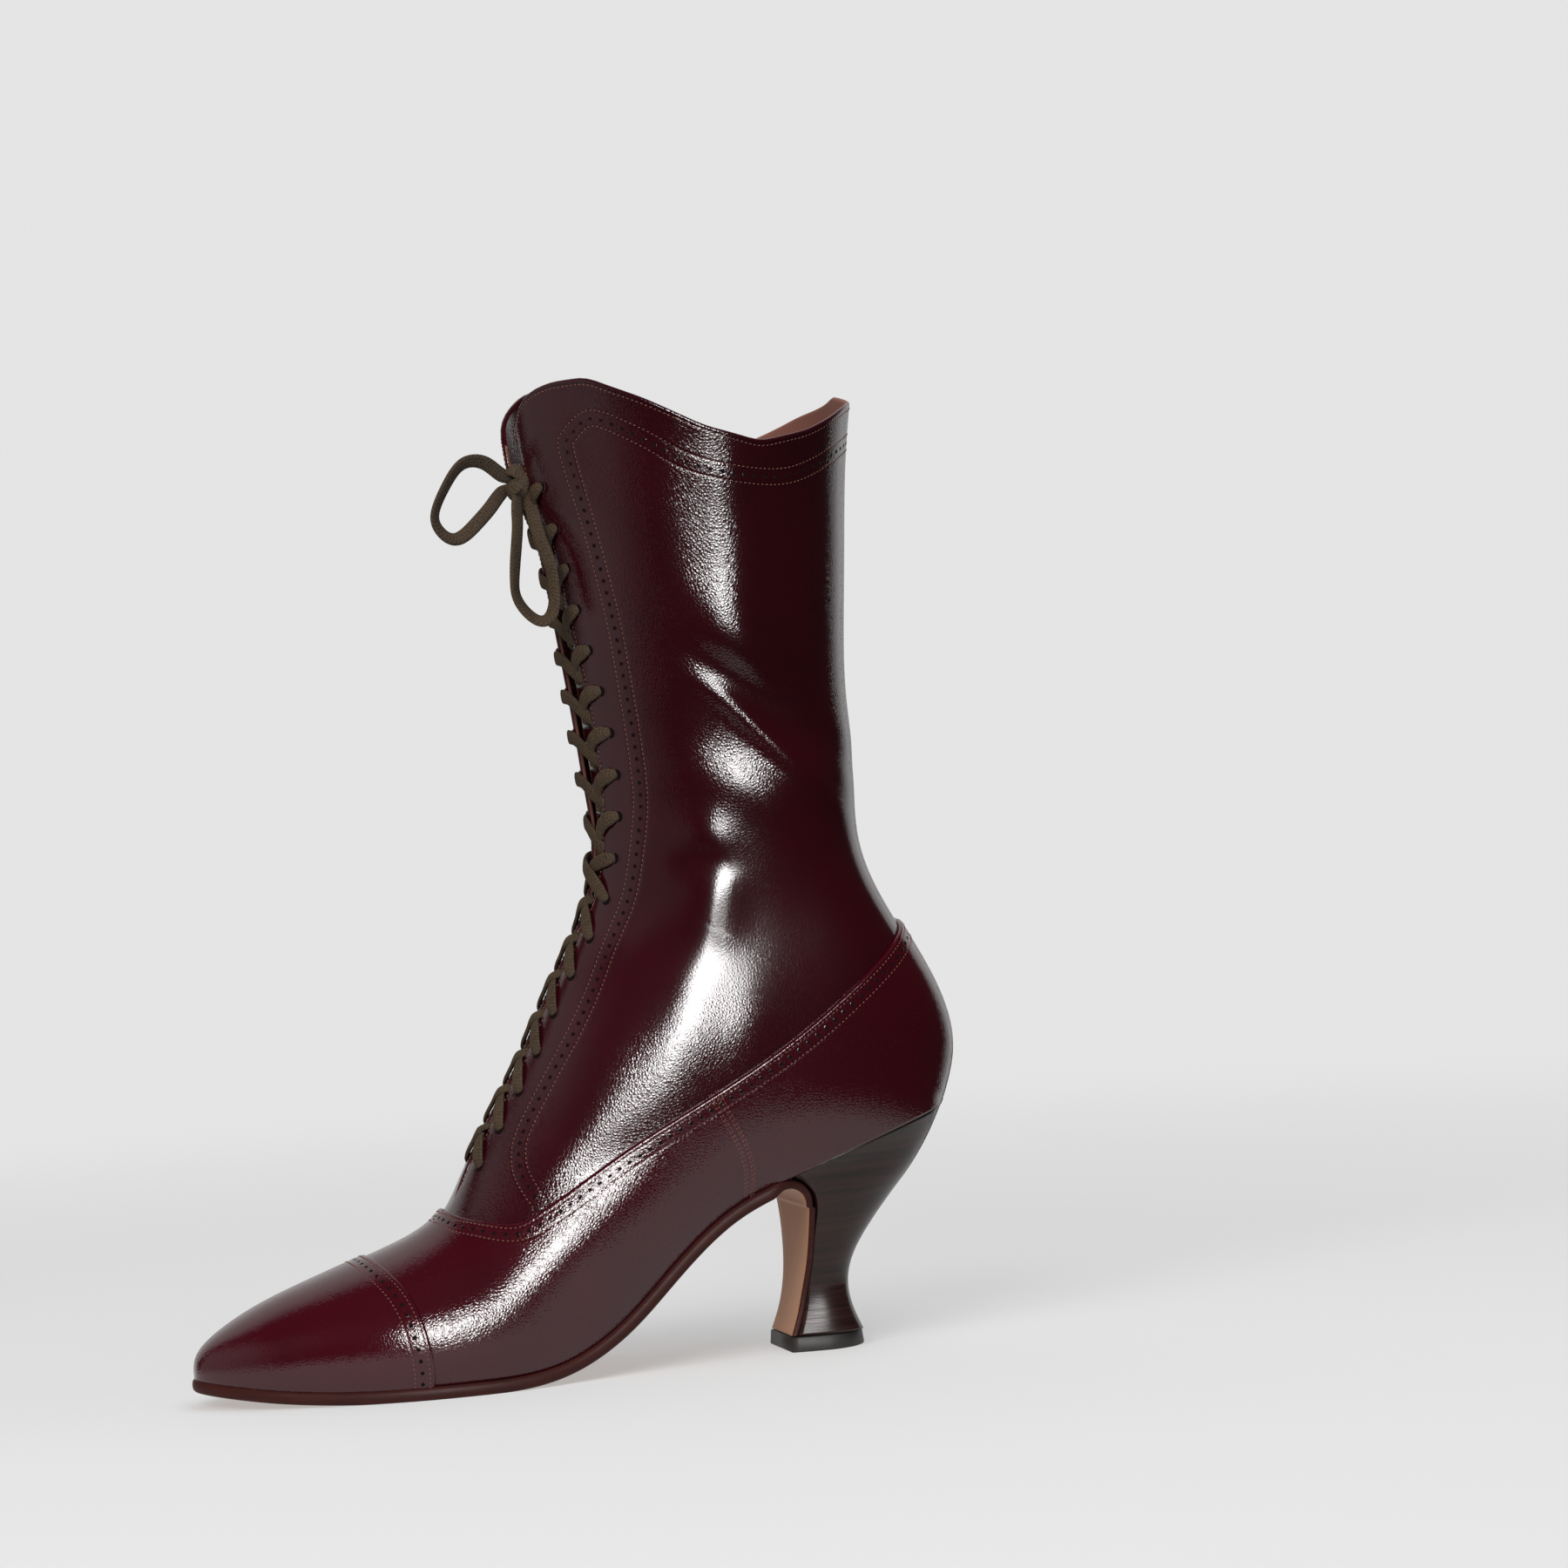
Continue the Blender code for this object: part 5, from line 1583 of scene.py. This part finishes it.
def make_knot():
    """Three turns of braid, each a ring in its own plane."""
    arrays = Arrays()
    turn = np.linspace(0, 2 * np.pi, 40)
    wraps = (
        # first axis, second axis, radii, shift
        ((0.25, 0.35, 0.9), (-0.25, -0.9, 0.35), (4.6, 4.0), (0.4, 0.0, 0.0)),
        ((0.9, 0.2, 0.38), (-0.1, -0.92, 0.38), (4.4, 3.5), (-0.6, -0.2, -1.3)),
        ((0.75, 0.1, -0.65), (0.15, -0.95, 0.28), (4.8, 3.2), (-0.3, -0.3, 0.9)),
    )
    for first, second, radii, shift in wraps:
        a = unit(np.array(first))
        b = square_to(np.array(second), a)
        spoke = radii[0] * np.cos(turn)[:, None] * a + radii[1] * np.sin(turn)[:, None] * b
        path = KNOT_AT + shift + spoke
        add_ribbon(arrays, path, spoke, np.full(len(turn), 4.6), np.full(len(turn), 1.4))
    return piece("bow_knot", arrays, (LACE,), ["lace_knot"])


make_loop("bow_loop_front", FRONT_LOOP, "lace_loop_front", (80, 62))
make_loop("bow_loop_hanging", HANGING_LOOP, "lace_loop_hanging", (75, 60))
make_knot()

# %% [markdown]
# ## Studio
# The boot stands on a pale floor that runs out into a pale backdrop. A tall soft box in front, with a weaker
# one under it, gives the long highlights and shows in the gloss only. A box on the left and a wide one
# overhead light the leather's own colour. Weak boxes on the left grey the facings, and two more behind the
# boot give its rims. The right is left dark, for the deep shade on the back of the leg.

# %% Floor and lights
PALE = 0.78
GLOW_NEAR = 0.5
GLOW_FROM, GLOW_TO = 0.3, 1.1  # metres from the boot's middle
DIM = 0.03


def paper_finish():
    """Paper that is lit near the boot and glows at the backdrop's own brightness far from it."""
    f = Finish("floor_paper", Specular_IOR_Level=0.1)
    cloud = f.noise(400, 2)
    far = f.node("ShaderNodeVectorMath", {"operation": "LENGTH"}, {0: f.place}, out="Value")
    span = {0: far, 1: GLOW_FROM, 2: GLOW_TO, 3: GLOW_NEAR, 4: 1.0}
    far = f.node("ShaderNodeMapRange", {"interpolation_type": "SMOOTHSTEP"}, span)
    f.finish(f.mix((0.77, 0.77, 0.77, 1), (0.79, 0.79, 0.79, 1), cloud), 0.8 + cloud * 0.05)
    glow = f.node("ShaderNodeEmission", None, {"Color": (PALE, PALE, PALE, 1), "Strength": 1.0})
    both = f.node("ShaderNodeMixShader", None, {0: far, 1: Term(f, f.shader.outputs[0]), 2: glow})
    f.feed(f.tree.nodes["Material Output"].inputs["Surface"], both)
    return f.material


def make_floor(name, inner, outer, shines):
    """Flat ring of floor between two radii; only the part near the boot shows in its gloss."""
    turn = np.linspace(0, 2 * np.pi, 97)[:-1]
    reach = np.linspace(inner, outer, 24)
    points = np.stack([
        reach[:, None] * np.cos(turn), reach[:, None] * np.sin(turn), np.zeros((len(reach), len(turn)))
    ], -1)
    mesh = bpy.data.meshes.new(name)
    faces = grid_faces(len(reach), len(turn), closed=True)
    mesh.from_pydata(points.reshape(-1, 3).tolist(), [], faces.tolist())
    mesh.materials.append(PAPER)
    made = bpy.data.objects.new(name, mesh)
    made.visible_glossy = shines
    made.visible_diffuse = shines
    bpy.context.scene.collection.objects.link(made)
    return made


def soft_box(name, at, aim, size, radiance, matt, shines):
    """Rectangular light that faces a point: its power is pi times its area times its radiance."""
    light = bpy.data.lights.new(name, "AREA")
    light.shape = "RECTANGLE"
    light.size, light.size_y = size
    light.energy = math.pi * size[0] * size[1] * radiance
    made = bpy.data.objects.new(name, light)
    away = unit(np.array(at, float) - np.array(aim, float))
    right = unit(np.cross((0, 0, 1), away))
    place = np.eye(4)
    place[:3, :3] = np.stack([right, np.cross(away, right), away], 1)
    place[:3, 3] = at
    made.matrix_world = Matrix(place.tolist())
    made.visible_camera = False
    made.visible_diffuse = matt
    made.visible_glossy = shines
    bpy.context.scene.collection.objects.link(made)
    return made


def make_world():
    """Pale to the eye, dim to the leather, so that only the soft boxes shine in it."""
    world = bpy.data.worlds.new("studio")
    world.use_nodes = True
    nodes = Nodes(world.node_tree)
    seen = nodes.node("ShaderNodeLightPath", out="Is Camera Ray")
    colour = nodes.mix((DIM, DIM, DIM, 1), (PALE, PALE, PALE, 1), seen)
    nodes.feed(world.node_tree.nodes["Background"].inputs["Color"], colour)
    bpy.context.scene.world = world


PAPER = paper_finish()
FLOOR_NEAR, FLOOR_FAR = 0.27, 4.0
make_floor("studio_floor", 0.0, FLOOR_NEAR, True)
make_floor("studio_surround", FLOOR_NEAR, FLOOR_FAR, False)
make_world()
SOFT_BOXES = (
    # name, place, aim, size, radiance, lights the matt part, shows in the gloss
    ("key_box", (0.04, -1.0, 0.35), (0.03, 0.0, 0.17), (0.36, 0.40), 26.0, False, True),
    ("low_key_box", (0.04, -1.0, 0.10), (0.03, 0.0, 0.17), (0.34, 0.10), 5.4, False, True),
    ("fill_box", (-0.95, -1.2, 1.1), (0.0, 0.0, 0.12), (1.2, 1.0), 6.0, True, False),
    ("over_box", (0.4, -0.4, 1.6), (0.0, 0.0, 0.0), (1.6, 1.2), 3.0, True, False),
    ("left_box", (-1.85, -0.25, 0.50), (0.0, 0.0, 0.40), (2.9, 2.3), 0.18, False, True),
    ("left_near_box", (-1.75, 0.1, 0.50), (0.0, 0.0, 0.40), (1.9, 2.3), 0.2, False, True),
    ("back_box", (0.0, 1.7, 1.1), (0.0, 0.0, 0.2), (3.0, 2.8), 0.6, True, True),
    ("rim_box", (1.55, 1.15, 0.25), (0.05, 0.0, 0.2), (1.0, 1.6), 0.9, False, True),
)
for box in SOFT_BOXES:
    soft_box(*box)
bpy.context.scene.view_settings.view_transform = "Standard"
print("studio ready,", len(SOFT_BOXES), "soft boxes")
